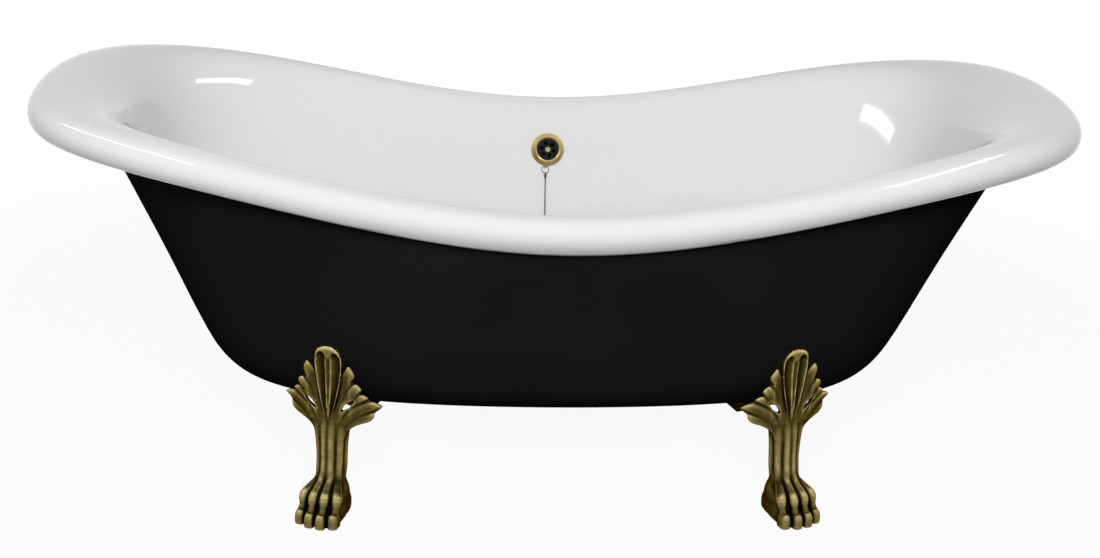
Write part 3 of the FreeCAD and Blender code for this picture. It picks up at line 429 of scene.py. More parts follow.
def eased(stations, count):
    """Stations of (x, y, z, radius ...) as a smooth line of that many rows."""
    rows = np.array(stations, float)
    ends = np.vstack([2 * rows[0] - rows[1], rows, 2 * rows[-1] - rows[-2]])
    made = []
    for t in np.linspace(0.0, len(rows) - 1 - NEAR_ZERO, count):
        i = int(t)
        f = t - i
        a, b, c, d = ends[i:i + 4]
        made.append(0.5 * (2 * b + (c - a) * f + (2 * a - 5 * b + 4 * c - d) * f ** 2
                           + (3 * b - a - 3 * c + d) * f ** 3))
    return np.array(made)


def smooth_max(first, second, soft):
    share = np.clip(0.5 + 0.5 * (second - first) / soft, 0.0, 1.0)
    return first + (second - first) * share + soft * share * (1.0 - share)


def tube_form(rows):
    """Distance to a line of balls that grow and shrink."""
    def form(x, y, z):
        best = None
        for a, b in zip(rows, rows[1:]):
            step = b[:3] - a[:3]
            size = step @ step + NEAR_ZERO
            px, py, pz = x - a[0], y - a[1], z - a[2]
            t = np.clip((px * step[0] + py * step[1] + pz * step[2]) / size, 0.0, 1.0)
            far = np.sqrt((px - t * step[0]) ** 2 + (py - t * step[1]) ** 2 + (pz - t * step[2]) ** 2)
            near = far - (a[3] + t * (b[3] - a[3]))
            best = near if best is None else np.minimum(best, near)
        return best
    return form


def lay_tube(clay, stations, soft, count):
    rows = eased(stations, count)
    margin = rows[:, 3].max() + 2 * soft + MARGIN
    low = rows[:, :3].min(axis=0) - margin
    high = rows[:, :3].max(axis=0) + margin
    clay.add(tube_form(rows), low, high, soft)


def block_form(centre, half, power, taper):
    """Distance to a box with rounded edges that widens towards its front end."""
    def form(x, y, z):
        wide = half[0] * (1.0 + taper * np.clip((centre[1] - y) / half[1], -TAPER_MOST, TAPER_MOST))
        px = np.abs(x - centre[0]) / wide
        py = np.abs(y - centre[1]) / half[1]
        pz = np.abs(z - centre[2]) / half[2]
        size = (px ** power + py ** power + pz ** power + SIZE_LEAST) ** (1.0 / power)
        rise = power - 1.0
        slope = np.sqrt((px ** rise / wide) ** 2 + (py ** rise / half[1]) ** 2 + (pz ** rise / half[2]) ** 2)
        return np.maximum((size - 1.0) / (slope * size ** -rise + SLOPE_LEAST), DEEPEST)
    return form


def lay_block(clay, centre, half, power, taper, soft):
    reach = max(half) * BLOCK_REACH_SHARE + 2 * soft + MARGIN
    low, high = np.array(centre) - reach, np.array(centre) + reach
    clay.add(block_form(centre, half, power, taper), low, high, soft)


# Column of the foot: height, y of its middle, half width and half depth
STEM = (
    (0.0, -36.0, 30.0, 30.0), (30.0, -36.0, 31.0, 30.0), (46.0, -34.0, 30.0, 29.0),
    (60.0, -29.0, 26.6, 27.0), (80.0, -22.5, 24.0, 23.5), (100.0, -18.0, 23.6, 22.0),
    (130.0, -15.0, 25.6, 21.0), (156.0, -14.0, 30.0, 19.0), (178.0, -13.0, 31.0, 14.0),
)
STEM_BOX = ((-60.0, -100.0, -4.0), (60.0, 45.0, 185.0))
STEM_SOFT = 1.0
STEM_ROWS = 160
STEM_LEAN = 4.0
LEAN_HEIGHTS = (50.0, 130.0)
TENDON_DEGREES = (15.0, 56.0, 103.0, 152.0)
TENDON_HEIGHTS = (50.0, 64.0, 80.0, 100.0, 120.0, 140.0, 158.0, 174.0)
TENDON_RADII = (7.6, 8.0, 8.2, 8.2, 8.4, 9.4, 10.0, 8.0)
TENDON_STANDS = (-9.0, 0.0, 3.6, 4.2, 4.2, 3.8, 2.8, -1.0)
TENDON_SOFT = 1.2
TENDON_ROWS = 22


def lean_at(heights):
    """Sideways shift of the column, which leans in from the crest down to the paw."""
    return np.interp(heights, LEAN_HEIGHTS, (STEM_LEAN, 0.0))


def stem_at(heights):
    smooth = eased(STEM, STEM_ROWS)
    return [np.interp(heights, smooth[:, 0], smooth[:, column]) for column in (1, 2, 3)]


def stem_form(x, y, z):
    middle, wide, deep = stem_at(z)
    px, py = (x - lean_at(z)) / wide, (y - middle) / deep
    far = np.sqrt(px ** 2 + py ** 2) + SIZE_LEAST
    slope = np.sqrt((px / wide) ** 2 + (py / deep) ** 2) + SIZE_LEAST
    side = far * (far - 1.0) / slope
    return np.maximum(side, z - STEM[-1][0])


def lay_stem(clay):
    clay.add(stem_form, *STEM_BOX, STEM_SOFT)
    heights = np.array(TENDON_HEIGHTS)
    middle, wide, deep = stem_at(heights)
    for degrees in TENDON_DEGREES:
        turn = math.radians(degrees)
        for side in (-1.0, 1.0):
            out = np.array(TENDON_STANDS) - np.array(TENDON_RADII)
            across = lean_at(heights) + side * (wide + out) * math.sin(turn)
            ahead = middle - (deep + out) * math.cos(turn)
            stations = np.stack([across, ahead, heights, TENDON_RADII], axis=1)
            lay_tube(clay, stations, TENDON_SOFT, TENDON_ROWS)


# Blocks of the paw: centre, half sizes, squareness, widening to the front and softness of the join
PALM = ((STEM_LEAN, -46.0, 7.0), (34.0, 50.0, 21.0), 4.0, 0.095, 4.0)
HEEL = ((STEM_LEAN, -39.0, 22.0), (33.5, 41.0, 38.0), 3.0, 0.08, 8.0)
# Toes from the ankle to the claw: forward reach, height, radius and the share of the ankle's place
TOE_LINE = (
    (36.0, 88.0, 5.0, 1.0), (44.0, 74.0, 6.4, 1.0), (54.0, 62.0, 7.6, 0.95), (64.0, 53.5, 8.8, 0.5),
    (73.0, 45.0, 9.9, 0.05), (78.5, 31.0, 6.8, 0.0), (84.0, 20.0, 7.6, 0.0),
)
TOE_SOFT = 2.6
TOE_ROWS = 24
# Each toe's place across and its added reach, at the claw and at the ankle
TOES = (
    (-30.2, 1.0, -17.0, -14.0), (-10.1, 8.0, -7.5, -1.0), (10.1, 8.0, 7.5, -1.0), (30.2, 1.0, 17.0, -14.0),
)
# Claws: reach and height of the middle, half sizes, squareness and softness of the join
CLAW = (86.5, 8.0)
CLAW_HALF = (9.9, 14.0, 18.5)
CLAW_POWER = 2.8
CLAW_SOFT = 2.2


def lay_paw(clay):
    lay_block(clay, *PALM)
    lay_block(clay, *HEEL)
    for claw, claw_ahead, ankle, ankle_ahead in TOES:
        stations = []
        for reach, height, radius, share in TOE_LINE:
            across = lean_at(height) + claw + share * (ankle - claw)
            ahead = reach + claw_ahead + share * (ankle_ahead - claw_ahead)
            stations.append((across, -ahead, height, radius))
        lay_tube(clay, stations, TOE_SOFT, TOE_ROWS)
        centre = (claw + STEM_LEAN, -CLAW[0] - claw_ahead, CLAW[1])
        lay_block(clay, centre, CLAW_HALF, CLAW_POWER, 0.0, CLAW_SOFT)


# Middle petal: heights, half widths and the y of its middle surface
PETAL = (
    (163.0, 2.0, -33.0), (172.0, 5.0, -32.5), (190.0, 9.5, -31.0), (214.0, 15.5, -29.0), (240.0, 21.0, -27.5),
    (264.0, 24.4, -27.0), (280.0, 25.2, -27.5), (293.0, 24.0, -28.5), (302.0, 21.4, -29.5),
    (308.5, 16.8, -30.0), (312.0, 11.5, -30.0), (314.0, 4.0, -30.0),
)
PETAL_BOX = ((-34.0, -52.0, 158.0), (34.0, -8.0, 319.0))
PETAL_LEAST = 0.5
PETAL_FACE = 2.0
PETAL_BACK = 7.0
PETAL_EDGE = 3.0
PETAL_END_SHARE = 0.8
PETAL_SOFT = 1.2
# Flutes across half the petal: share of its half width, and how far they stand out
PETAL_RELIEF = (
    (0.0, 3.0), (0.09, 3.4), (0.2, 4.6), (0.34, 1.6), (0.57, -1.2), (0.77, 1.0), (0.91, 4.0), (1.0, 5.0),
    (1.4, 0.0),
)
RELIEF_ROWS = 90
FLUTE_FADE = 36.0
FLUTE_LEAST_SHARE = 0.3
PETAL_CAP = (292.0, 305.0)
CAP_STAND = 6.6
CAP_ARCH = -34.0
CAP_MIDDLE_SHARE = 0.57
CAP_FLAT = 4.0
CAP_SLOPE = 0.7


def petal_form(x, y, z):
    heights = [row[0] for row in PETAL]
    wide = np.interp(z, heights, [row[1] for row in PETAL])
    middle = np.interp(z, heights, [row[2] for row in PETAL])
    u = np.abs(x) / np.maximum(wide, PETAL_LEAST)
    profile = eased([(a, b, 0.0, 0.0) for a, b in PETAL_RELIEF], RELIEF_ROWS)
    flutes = np.interp(u, profile[:, 0], profile[:, 1])
    arch = PETAL_CAP[0] + CAP_ARCH * (u - CAP_MIDDLE_SHARE) ** 2
    cap = np.clip((z - arch) / (PETAL_CAP[1] - PETAL_CAP[0]), 0.0, 1.0)
    cap = cap * cap * (3.0 - 2.0 * cap)
    shallow = np.clip((z - heights[0]) / FLUTE_FADE, FLUTE_LEAST_SHARE, 1.0)
    stand = CAP_STAND - CAP_SLOPE * np.maximum(z - PETAL_CAP[1] - CAP_FLAT, 0.0)
    relief = flutes * shallow * (1.0 - cap) + stand * cap
    deep = np.maximum((middle - relief + PETAL_FACE) - y, y - (middle + PETAL_BACK))
    ends = np.maximum(heights[0] - z, (z - heights[-1]) * PETAL_END_SHARE)
    return smooth_max(smooth_max(np.abs(x) - wide, deep, PETAL_EDGE), ends, PETAL_EDGE)


# Fan of leaves behind the petal: outline of one half, and the y of its front at a grid of heights and places
FAN = (
    (0.0, 140.0), (24.0, 140.0), (31.0, 149.0), (39.0, 157.5), (48.0, 163.5), (58.0, 167.5), (67.0, 170.5),
    (74.0, 175.5), (77.5, 182.0), (78.0, 187.5), (83.0, 192.5), (88.0, 197.5), (91.0, 203.0), (84.0, 208.5),
    (76.0, 212.0), (68.5, 214.5), (69.5, 219.0), (66.0, 223.5), (60.0, 227.0), (55.5, 228.5), (58.0, 233.0),
    (58.5, 239.0), (55.0, 245.0), (49.0, 248.5), (42.5, 249.5), (46.0, 256.0), (47.5, 264.0), (44.5, 273.0),
    (39.0, 281.0), (34.0, 277.5), (29.0, 271.0), (22.0, 262.0), (0.0, 262.0),
)
FAN_ACROSS = (0.0, 12.0, 24.0, 39.0, 55.0, 68.0, 91.0)
FAN_FRONTS = (
    (145.0, (-33.0, -31.0, -25.0, -16.0, -9.0, -3.0, 7.0)),
    (172.0, (-32.0, -31.5, -29.5, -24.0, -17.0, -11.0, 1.0)),
    (205.0, (-24.0, -25.0, -28.0, -27.0, -21.0, -14.5, -3.0)),
    (240.0, (-18.0, -19.5, -24.5, -27.0, -22.0, -15.0, -3.0)),
    (282.0, (-18.0, -19.0, -23.0, -26.0, -22.0, -15.0, -3.0)),
)
FAN_BOX = ((-99.0, -48.0, 134.0), (99.0, 24.0, 290.0))
FAN_THICK = 9.0
FAN_EDGE = 3.5
FAN_UNDERCUT = 0.75
FAN_STEEPNESS = 0.8
FAN_SOFT = 5.0
FAN_POINT_ROWS = 3

# Lobes of one half, from root to tip: x, z, half width and height of the ridge
LOBES = (
    (
        (9, 160, 5.0, 0.5), (12, 186, 7.0, 1.6), (19, 217, 10.5, 2.2), (28, 243, 14.5, 3.0),
        (36, 262, 14.0, 4.6), (39.5, 273, 10.0, 7.0), (39.5, 281, 6.0, 6.5),
    ),
    (
        (16, 156, 5.5, 0.5), (20, 180, 7.0, 1.4), (29, 203, 9.5, 2.2), (42, 226, 12.0, 3.4),
        (50.5, 238, 10.5, 6.0), (55, 245, 7.0, 6.5),
    ),
    ((38, 205, 4.5, 1.0), (51, 215.5, 8.0, 2.6), (61, 220.5, 7.6, 4.4), (67, 222, 5.0, 5.0)),
    (
        (25, 152, 6.0, 0.5), (34, 176, 8.5, 2.0), (50, 191, 11.0, 2.8), (68, 200.5, 11.0, 3.4),
        (82, 205, 8.0, 4.8), (90, 204.5, 4.6, 4.6),
    ),
    (
        (30, 148, 6.5, 0.4), (40, 164, 9.0, 1.8), (55, 173.5, 11.0, 2.8), (68, 179, 10.0, 3.8),
        (76, 184, 6.5, 4.2),
    ),
)
LOBE_POWER = 1.7
LOBE_ROWS = 22
# Eye between two lobes: x, z and radius
EYE = ((25, 194.0, 1.6), (31, 200, 3.8), (36, 205, 4.2), (44, 213.5, 1.8))
EYE_DEPTHS = (-46.0, 12.0)
EYE_THROAT = -24.0
EYE_FLARE = 0.32
EYE_ACROSS = 66.0
EYE_HEIGHTS = (176.0, 226.0)
EYE_SOFT = 1.2
EYE_ROWS = 12


def outline_distance(outline, x, z):
    best = None
    inside = False
    for (x0, z0), (x1, z1) in zip(outline, np.roll(outline, -1, axis=0)):
        sx, sz = x1 - x0, z1 - z0
        t = np.clip(((x - x0) * sx + (z - z0) * sz) / (sx * sx + sz * sz + NEAR_ZERO), 0.0, 1.0)
        near = (x - x0 - t * sx) ** 2 + (z - z0 - t * sz) ** 2
        best = near if best is None else np.minimum(best, near)
        crosses = ((z0 > z) != (z1 > z)) & (x < sx * (z - z0) / (sz if sz else NEAR_ZERO) + x0)
        inside = inside ^ crosses
    return np.where(inside, -np.sqrt(best), np.sqrt(best))


def lobe_heights(x, z):
    """How far the lobes' ridges stand out of the fan."""
    best = 0.0
    for stations in LOBES:
        rows = eased(stations, LOBE_ROWS)
        for a, b in zip(rows, rows[1:]):
            sx, sz = b[0] - a[0], b[1] - a[1]
            t = np.clip(((x - a[0]) * sx + (z - a[1]) * sz) / (sx * sx + sz * sz), 0.0, 1.0)
            near = (x - a[0] - t * sx) ** 2 + (z - a[1] - t * sz) ** 2
            wide = a[2] + t * (b[2] - a[2])
            best = np.maximum(best, (a[3] + t * (b[3] - a[3])) * (1.0 - (near / wide ** 2) ** LOBE_POWER))
    return best


def fan_front(x, z):
    columns = np.stack([np.interp(x[:, 0, 0], FAN_ACROSS, row) for _, row in FAN_FRONTS])
    levels = np.array([height for height, _ in FAN_FRONTS])
    heights = z[0, 0, :]
    grid = np.stack([np.interp(heights, levels, columns[:, i]) for i in range(columns.shape[1])])
    return grid[:, None, :]


def fan_form(x, y, z):
    half = eased([(a, b, 0.0, 0.0) for a, b in FAN], FAN_POINT_ROWS * len(FAN))[:, :2]
    across = np.abs(x)
    side = outline_distance(half, across, z)
    base = fan_front(across, z)
    front = base - lobe_heights(across, z)
    inset = FAN_UNDERCUT * np.maximum(y - front - FAN_EDGE, 0.0)
    deep = np.maximum(front - y, y - base - FAN_THICK)
    return smooth_max((side + inset) * FAN_STEEPNESS, deep * FAN_STEEPNESS, FAN_EDGE)


def lay_crest(clay):
    clay.add(fan_form, *FAN_BOX, FAN_SOFT)
    clay.add(petal_form, *PETAL_BOX, PETAL_SOFT)


def carve_eyes(clay):
    eye = eased([(x, 0.0, z, r) for x, z, r in EYE], EYE_ROWS)

    def eye_form(x, y, z):
        flare = EYE_FLARE * np.maximum(y - EYE_THROAT, 0.0)
        return tube_form(eye)(np.abs(x), 0.0 * y, z) - flare
    low = (-EYE_ACROSS, EYE_DEPTHS[0], EYE_HEIGHTS[0])
    high = (EYE_ACROSS, EYE_DEPTHS[1], EYE_HEIGHTS[1])
    clay.carve(eye_form, low, high, EYE_SOFT)


# Web to the bath: the y and z of its lower edge, and its half widths by height
WEB_EDGE = (
    (-20.0, 190.0), (0.0, 188.0), (20.0, 183.0), (45.0, 170.0), (68.0, 156.0), (86.0, 145.0),
    (128.0, LUG_BOTTOM), (LUG_END, LUG_BOTTOM),
)
WEB_WIDTHS = ((LUG_BOTTOM, 18.0), (145.0, 17.0), (170.0, 9.0), (270.0, 7.0))
WEB_TOP = 272.0
WEB_BOX = ((-26.0, -26.0, 110.0), (26.0, 214.0, 280.0))
WEB_STEEPNESS = 0.94
WEB_EDGE_SOFT = 4.0
WEB_SOFT = 5.0


def web_form(x, y, z):
    low = np.interp(y, [row[0] for row in WEB_EDGE], [row[1] for row in WEB_EDGE])
    across = np.abs(x) - np.interp(z, *zip(*WEB_WIDTHS))
    under = (low - z) * WEB_STEEPNESS
    ends = np.maximum(y - WEB_EDGE[-1][0], WEB_EDGE[0][0] - y)
    rest = np.maximum(np.maximum(under, ends), z - WEB_TOP)
    return smooth_max(across, rest, WEB_EDGE_SOFT)


# Heights that stand for no skin above, and beyond which the skin's slope isn't followed
NO_SKIN = 900.0
STEEP_SKIN = 400.0


def to_world(points, x_sign, y_sign):
    c, s = math.cos(FOOT_SPLAY), math.sin(FOOT_SPLAY)
    x = -FOOT_X + c * points[:, 0] + s * points[:, 1]
    y = -FOOT_Y - s * points[:, 0] + c * points[:, 1]
    return np.stack([-x_sign * x, -y_sign * y, points[:, 2]], axis=1) * MM


def skin_heights(clay):
    """Height of the bath's skin above each column of the clay."""
    mesh = nodes["outer_shell"].data
    tree = BVHTree.FromPolygons([v.co for v in mesh.vertices], [p.vertices for p in mesh.polygons])
    xs, ys = clay.axes[0], clay.axes[1]
    columns = np.array([(x, y, 0.0) for x in xs for y in ys])
    heights = []
    for place in to_world(columns, -1.0, -1.0):
        hit = tree.ray_cast(Vector(place), Vector((0.0, 0.0, 1.0)))[0]
        heights.append(hit.z / MM if hit is not None else NO_SKIN)
    grid = np.array(heights).reshape(len(xs), len(ys))
    return np.where(ys[None, :] > UNDERSIDE_START, np.minimum(grid, UNDERSIDE), grid)


def cut_to_skin(clay):
    heights = skin_heights(clay)
    slope_x, slope_y = np.gradient(np.minimum(heights, STEEP_SKIN), clay.pitch)
    lean = 1.0 / np.sqrt(1.0 + slope_x ** 2 + slope_y ** 2)
    above = (clay.axes[2][None, None, :] - heights[:, :, None]) * lean[:, :, None] + SKIN_GAP
    clay.field = np.maximum(clay.field, above.astype(np.float32))


HOLE_SOFT = 0.4


def drill(clay, y0, radius, heights):
    def form(x, y, z):
        side = np.sqrt(x ** 2 + (y - y0) ** 2) - radius
        return np.maximum(side, np.maximum(heights[0] - z, z - heights[1]))
    reach = radius + MARGIN
    clay.carve(form, (-reach, y0 - reach, heights[0]), (reach, y0 + reach, heights[1] + MARGIN), HOLE_SOFT)


CORNERS = [(i, j, k) for i in (0, 1) for j in (0, 1) for k in (0, 1)]


def surface(clay):
    """The field's zero surface as quads, one point in each cell that it crosses."""
    field = clay.field
    inside = field < 0.0
    shape = np.array(field.shape) - 1
    count = np.zeros(shape, np.uint8)
    for i, j, k in CORNERS:
        count += inside[i:shape[0] + i, j:shape[1] + j, k:shape[2] + k]
    active = (count > 0) & (count < 8)
    cells = np.argwhere(active)
    index = np.full(shape, -1, np.int64)
    index[active] = np.arange(len(cells))
    total = np.zeros((len(cells), 3))
    crossings = np.zeros(len(cells))
    for a in CORNERS:
        for axis in range(3):
            if a[axis]:
                continue
            b = list(a)
            b[axis] = 1
            first = field[tuple((cells + a).T)]
            second = field[tuple((cells + b).T)]
            crosses = (first < 0.0) != (second < 0.0)
            t = first[crosses] / (first[crosses] - second[crosses])
            place = np.tile(np.array(a, float), (int(crosses.sum()), 1))
            place[:, axis] += t
            total[crosses] += place
            crossings[crosses] += 1.0
    points = clay.low + (cells + total / crossings[:, None]) * clay.pitch
    quads = []
    for axis in range(3):
        ahead = [slice(None)] * 3
        ahead[axis] = slice(1, None)
        behind = [slice(None)] * 3
        behind[axis] = slice(None, -1)
        first, second = inside[tuple(behind)], inside[tuple(ahead)]
        u, v = [other for other in range(3) if other != axis]
        edges = np.argwhere(first != second)
        edges = edges[(edges[:, u] > 0) & (edges[:, v] > 0)]
        edges = edges[(edges[:, u] < shape[u]) & (edges[:, v] < shape[v])]
        ring = []
        for du, dv in ((0, 0), (1, 0), (1, 1), (0, 1)):
            cell = edges.copy()
            cell[:, u] -= du
            cell[:, v] -= dv
            ring.append(index[tuple(cell.T)])
        ring = np.stack(ring, axis=1)
        outward = first[tuple(edges.T)]
        if axis == 1:
            outward = ~outward
        ring[~outward] = ring[~outward][:, ::-1]
        quads.append(ring)
    return points, np.concatenate(quads)


def neighbours(faces, count):
    edges = np.concatenate([faces[:, [i, (i + 1) % 4]] for i in range(4)])
    edges = np.unique(np.sort(edges, axis=1), axis=0)
    degree = np.bincount(edges.ravel(), minlength=count).astype(float)
    return edges, np.maximum(degree, 1.0)


def averaged(values, edges, degree):
    made = np.zeros_like(values)
    for column in range(values.shape[1]):
        made[:, column] = (
            np.bincount(edges[:, 0], values[edges[:, 1], column], len(values))
            + np.bincount(edges[:, 1], values[edges[:, 0], column], len(values))
        )
    return made / degree[:, None]


def face_normals(points, faces):
    normal = np.cross(points[faces[:, 2]] - points[faces[:, 0]], points[faces[:, 3]] - points[faces[:, 1]])
    total = np.zeros_like(points)
    for corner in range(4):
        for column in range(3):
            total[:, column] += np.bincount(faces[:, corner], normal[:, column], len(points))
    return total / np.maximum(np.linalg.norm(total, axis=1), NEAR_ZERO)[:, None]


def sampled(clay, points):
    """The field between the grid's corners."""
    places = np.clip((points - clay.low) / clay.pitch, 0.0, np.array(clay.field.shape) - CELL_END)
    cell = places.astype(int)
    share = places - cell
    total = np.zeros(len(points))
    for corner in CORNERS:
        weight = np.prod(np.where(corner, share, 1.0 - share), axis=1)
        total += weight * clay.field[tuple((cell + corner).T)]
    return total


# Wear and painted light: what each cause adds, with upward and forward faces painted lighter as painted
# highlight, the rounds and gains of the relief's scales, the paw painted darker towards the floor, and the
# web painted dark as painted shade
EVEN_WEAR = 0.5
OPEN_REACHES = (3.0, 7.0, 13.0)
OPEN_SHARE = 0.15
UPWARD_PAINTED_LIGHT = 0.15
FORWARD_PAINTED_LIGHT = 0.05
HOLLOW_SHARE = 0.9
RIDGE_MOST = 0.34
RELIEF_SCALES = ((5, 0.17), (26, 0.115), (80, 0.04))
PAW_HEIGHTS = (30.0, 90.0)
PAW_FLOOR_DARKENING = 0.11
WEB_SHADE_DEPTHS = (15.0, 70.0)
WEB_PAINTED_SHADE = 0.45


def wear_and_painted_light_of(clay, points, faces):
    """How light each point is painted: wear from 0 deep in a groove to 1 on a sharp ridge, together with
    painted light and shade.
    """
    edges, degree = neighbours(faces, len(points))
    normals = face_normals(points, faces)
    # Upward and forward faces are painted lighter and downward and backward faces darker: painted highlight
    # and painted shade.
    result = EVEN_WEAR + UPWARD_PAINTED_LIGHT * normals[:, 2] - FORWARD_PAINTED_LIGHT * normals[:, 1]
    # The paw is painted darker towards the floor.
    result += np.interp(points[:, 2], PAW_HEIGHTS, (-PAW_FLOOR_DARKENING, 0.0))
    # The web and lug behind the crest are painted near black: painted shade under the bath.
    result -= np.interp(points[:, 1], WEB_SHADE_DEPTHS, (0.0, WEB_PAINTED_SHADE))
    stand = np.zeros(len(points))
    smooth = points.copy()
    done = 0
    for rounds, gain in RELIEF_SCALES:
        for _ in range(int(rounds * (FINE_PITCH / CLAY_PITCH) ** 2) + 1 - done):
            smooth = averaged(smooth, edges, degree)
            done += 1
        stand += gain * ((points - smooth) * normals).sum(axis=1)
    result += np.where(stand < 0.0, HOLLOW_SHARE * stand, RIDGE_MOST * np.tanh(stand / RIDGE_MOST))
    for reach in OPEN_REACHES:
        free = np.clip(sampled(clay, points + reach * normals) / reach, 0.0, 1.0)
        result += OPEN_SHARE * (free - 1.0)
    return np.clip(result, 0.0, 1.0)


SOLE = 0.05
SMOOTHING_SHARES = (0.5, -0.52, 0.5, -0.52)


def sculpt_foot():
    clay = Clay(FOOT_LOW, FOOT_HIGH, CLAY_PITCH)
    lay_stem(clay)
    lay_paw(clay)
    lay_crest(clay)
    clay.add(web_form, *WEB_BOX, WEB_SOFT)
    carve_eyes(clay)
    cut_to_skin(clay)
    drill(clay, -LEVELLER_AHEAD, LEVELLER_PIT_RADIUS, LEVELLER_PIT_HEIGHTS)
    drill(clay, -LEVELLER_AHEAD, LEVELLER_HOLE_RADIUS, LEVELLER_HOLE_HEIGHTS)
    drill(clay, LUG_BOLT, BOLT_HOLE_RADIUS, BOLT_HOLE_HEIGHTS)
    clay.field = np.maximum(clay.field, SOLE - clay.axes[2][None, None, :].astype(np.float32))
    points, faces = surface(clay)
    edges, degree = neighbours(faces, len(points))
    for share in SMOOTHING_SHARES:
        points = points + share * (averaged(points, edges, degree) - points)
    points[:, 2] = np.maximum(points[:, 2], SOLE)
    return points, faces, wear_and_painted_light_of(clay, points, faces)


CORNER_SIGNS = {
    "front_left": (-1.0, -1.0), "front_right": (1.0, -1.0),
    "rear_left": (-1.0, 1.0), "rear_right": (1.0, 1.0),
}
foot_points, foot_faces, foot_wear_and_painted_light = sculpt_foot()
for name, (x_sign, y_sign) in CORNER_SIGNS.items():
    faces = foot_faces[:, ::-1] if x_sign * y_sign < 0.0 else foot_faces
    foot = add_mesh("claw_foot_" + name, to_world(foot_points, x_sign, y_sign), faces, "antique_brass")
    # The relief attribute holds wear together with painted highlight and painted shade.
    wear_light_layer = foot.data.attributes.new("relief", "FLOAT", "POINT")
    wear_light_layer.data.foreach_set("value", foot_wear_and_painted_light.astype(np.float32))
    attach(foot, "bath")
    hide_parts("foot_" + name)


# Floor, light and camera
WHITE = (1.0, 1.0, 1.0)
FLOOR_HALF = 14.0
FLOOR_DROP = 0.0005
FLOOR_BOUNCE = (0.12, 0.12, 0.12)
FLOOR_TONES = ((DARK_STOP, (0.86, 0.86, 0.86)), (LIGHT_STOP, (0.88, 0.88, 0.88)))
FLOOR_TONE_SCALE = 2.0
FLOOR_ROUGHNESS = 0.8
FLOOR_SPECULAR = 0.1
# How far from the middle the floor turns white, and how white it is within that
FADE_DISTANCES = (1.3, 2.6)
FADE_SHARES = (0.93, 1.0)
AMBIENT = 0.15


def seen_rays(tree):
    path = tree.nodes.new("ShaderNodeLightPath")
    first = tree.nodes.new("ShaderNodeMath")
    first.operation = "MAXIMUM"
    second = tree.nodes.new("ShaderNodeMath")
    second.operation = "MAXIMUM"
    tree.links.new(path.outputs["Is Camera Ray"], first.inputs[0])
    tree.links.new(path.outputs["Is Glossy Ray"], first.inputs[1])
    tree.links.new(first.outputs["Value"], second.inputs[0])
    tree.links.new(path.outputs["Is Transmission Ray"], second.inputs[1])
    return second.outputs["Value"]


def make_floor():
    shader = Shader("studio_floor")
    tone = shader.noise(FLOOR_TONE_SCALE)
    seen = seen_rays(shader.tree)
    pale = shader.ramp(tone, FLOOR_TONES)
    dimmed = shader.node("ShaderNodeMix", data_type="RGBA")
    dimmed.inputs["A"].default_value = colour(FLOOR_BOUNCE)
    shader.link(seen, dimmed.inputs["Factor"])
    shader.link(pale, dimmed.inputs["B"])
    shader.link(dimmed.outputs["Result"], shader.bsdf.inputs["Base Color"])
    shader.set(Roughness=FLOOR_ROUGHNESS, Specular_IOR_Level=FLOOR_SPECULAR)
    away = shader.node("ShaderNodeVectorMath", operation="LENGTH")
    shader.link(shader.place, away.inputs[0])
    fade = shader.node("ShaderNodeMapRange", interpolation_type="SMOOTHSTEP")
    fade.inputs["From Min"].default_value, fade.inputs["From Max"].default_value = FADE_DISTANCES
    fade.inputs["To Min"].default_value, fade.inputs["To Max"].default_value = FADE_SHARES
    shader.link(away.outputs["Value"], fade.inputs["Value"])
    glow = shader.node("ShaderNodeEmission")
    glow.inputs["Color"].default_value = colour(WHITE)
    mix = shader.node("ShaderNodeMixShader")
    shader.link(shader.maths("MULTIPLY", seen, fade.outputs["Result"]), mix.inputs["Fac"])
    shader.link(shader.bsdf.outputs["BSDF"], mix.inputs[1])
    shader.link(glow.outputs["Emission"], mix.inputs[2])
    shader.link(mix.outputs["Shader"], shader.tree.nodes["Material Output"].inputs["Surface"])
    corners = [(-1, -1), (1, -1), (1, 1), (-1, 1)]
    mesh = bpy.data.meshes.new("studio_floor")
    mesh.from_pydata([(FLOOR_HALF * x, FLOOR_HALF * y, -FLOOR_DROP) for x, y in corners], [], [(0, 1, 2, 3)])
    mesh.materials.append(shader.material)
    floor = bpy.data.objects.new("studio_floor", mesh)
    scene.collection.objects.link(floor)


make_floor()


def make_world():
    world = bpy.data.worlds.new("studio")
    world.use_nodes = True
    scene.world = world
    tree = world.node_tree
    plain = tree.nodes["Background"]
    shown = tree.nodes.new("ShaderNodeBackground")
    for background, strength in ((plain, AMBIENT), (shown, 1.0)):
        background.inputs["Color"].default_value = colour(WHITE)
        background.inputs["Strength"].default_value = strength
    mix = tree.nodes.new("ShaderNodeMixShader")
    tree.links.new(seen_rays(tree), mix.inputs["Fac"])
    tree.links.new(plain.outputs["Background"], mix.inputs[1])
    tree.links.new(shown.outputs["Background"], mix.inputs[2])
    tree.links.new(mix.outputs["Shader"], tree.nodes["World Output"].inputs["Surface"])


make_world()

# Lamps: place, aim, width, height, radiance, whether it shows in glossy surfaces, and roll in degrees
LAMPS = {
    "softbox_front": ((-0.1, -3.1, 2.7), (0.0, 0.1, 0.45), 2.2, 1.2, 13.6, False, 0.0),
    "softbox_back": ((0.0, 3.4, 0.75), (0.0, 0.0, 0.4), 2.4, 0.7, 8.0, False, 0.0),
    "softbox_fill": ((-2.8, -2.2, 1.6), (0.0, 0.0, 0.4), 1.2, 1.2, 2.5, False, 0.0),
    "softbox_right": ((0.99, -0.39, 1.91), (-0.63, 0.14, 0.58), 1.3, 0.2, 7.0, True, 0.0),
    "softbox_left": ((-1.25, -0.38, 1.61), (0.64, 0.93, 0.54), 1.35, 0.14, 7.0, True, 6.6),
}


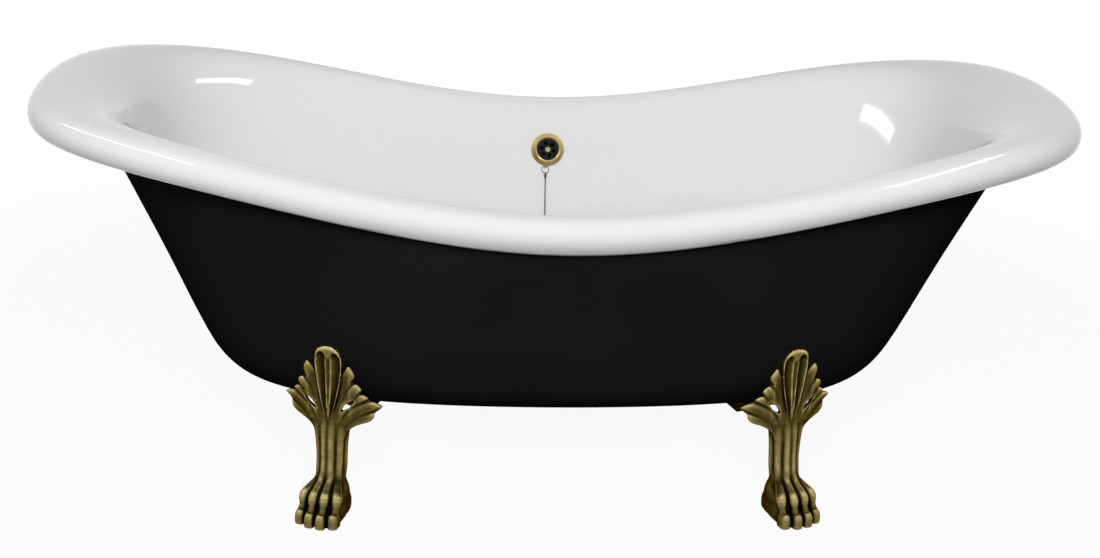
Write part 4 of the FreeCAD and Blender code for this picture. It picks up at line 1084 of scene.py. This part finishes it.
def softbox(name, place, aim, width, height, radiance, glossy, roll):
    """A soft lamp that either lights matt surfaces or shows in glossy ones."""
    light = bpy.data.lights.new(name, "AREA")
    light.shape = "RECTANGLE"
    light.size = width
    light.size_y = height
    light.energy = radiance * math.pi * width * height
    lamp = bpy.data.objects.new(name, light)
    lamp.location = place
    turn = (Vector(aim) - Vector(place)).to_track_quat("-Z", "Y").to_matrix()
    lamp.rotation_euler = (turn @ Matrix.Rotation(math.radians(roll), 3, "Z")).to_euler()
    lamp.visible_camera = False
    lamp.visible_diffuse = not glossy
    lamp.visible_glossy = glossy
    scene.collection.objects.link(lamp)


for lamp_name, lamp_values in LAMPS.items():
    softbox(lamp_name, *lamp_values)


def make_camera():
    camera = bpy.data.cameras.new("photo_camera")
    camera.sensor_fit = "HORIZONTAL"
    camera.sensor_width = SENSOR_MM
    camera.lens = FOCAL_PX / FRAME_WIDTH * SENSOR_MM
    camera.shift_x = (FRAME_WIDTH / 2 - CENTRE_PX[0]) / FRAME_WIDTH
    camera.shift_y = (CENTRE_PX[1] - FRAME_HEIGHT / 2) / FRAME_WIDTH
    camera.clip_end = CAMERA_CLIP
    eye = CAMERA_TARGET + CAMERA_DISTANCE * Vector((
        math.cos(CAMERA_ELEVATION) * math.sin(CAMERA_AZIMUTH),
        -math.cos(CAMERA_ELEVATION) * math.cos(CAMERA_AZIMUTH),
        math.sin(CAMERA_ELEVATION),
    ))
    forward = (CAMERA_TARGET - eye).normalized()
    level = forward.cross(Vector((0.0, 0.0, 1.0))).normalized()
    upward = level.cross(forward)
    right = math.cos(CAMERA_ROLL) * level + math.sin(CAMERA_ROLL) * upward
    above = math.cos(CAMERA_ROLL) * upward - math.sin(CAMERA_ROLL) * level
    viewer = bpy.data.objects.new("photo_camera", camera)
    viewer.matrix_world = Matrix.Translation(eye) @ Matrix((right, above, -forward)).transposed().to_4x4()
    scene.collection.objects.link(viewer)
    scene.camera = viewer


make_camera()
scene.view_settings.view_transform = "Standard"

bpy.context.view_layer.update()
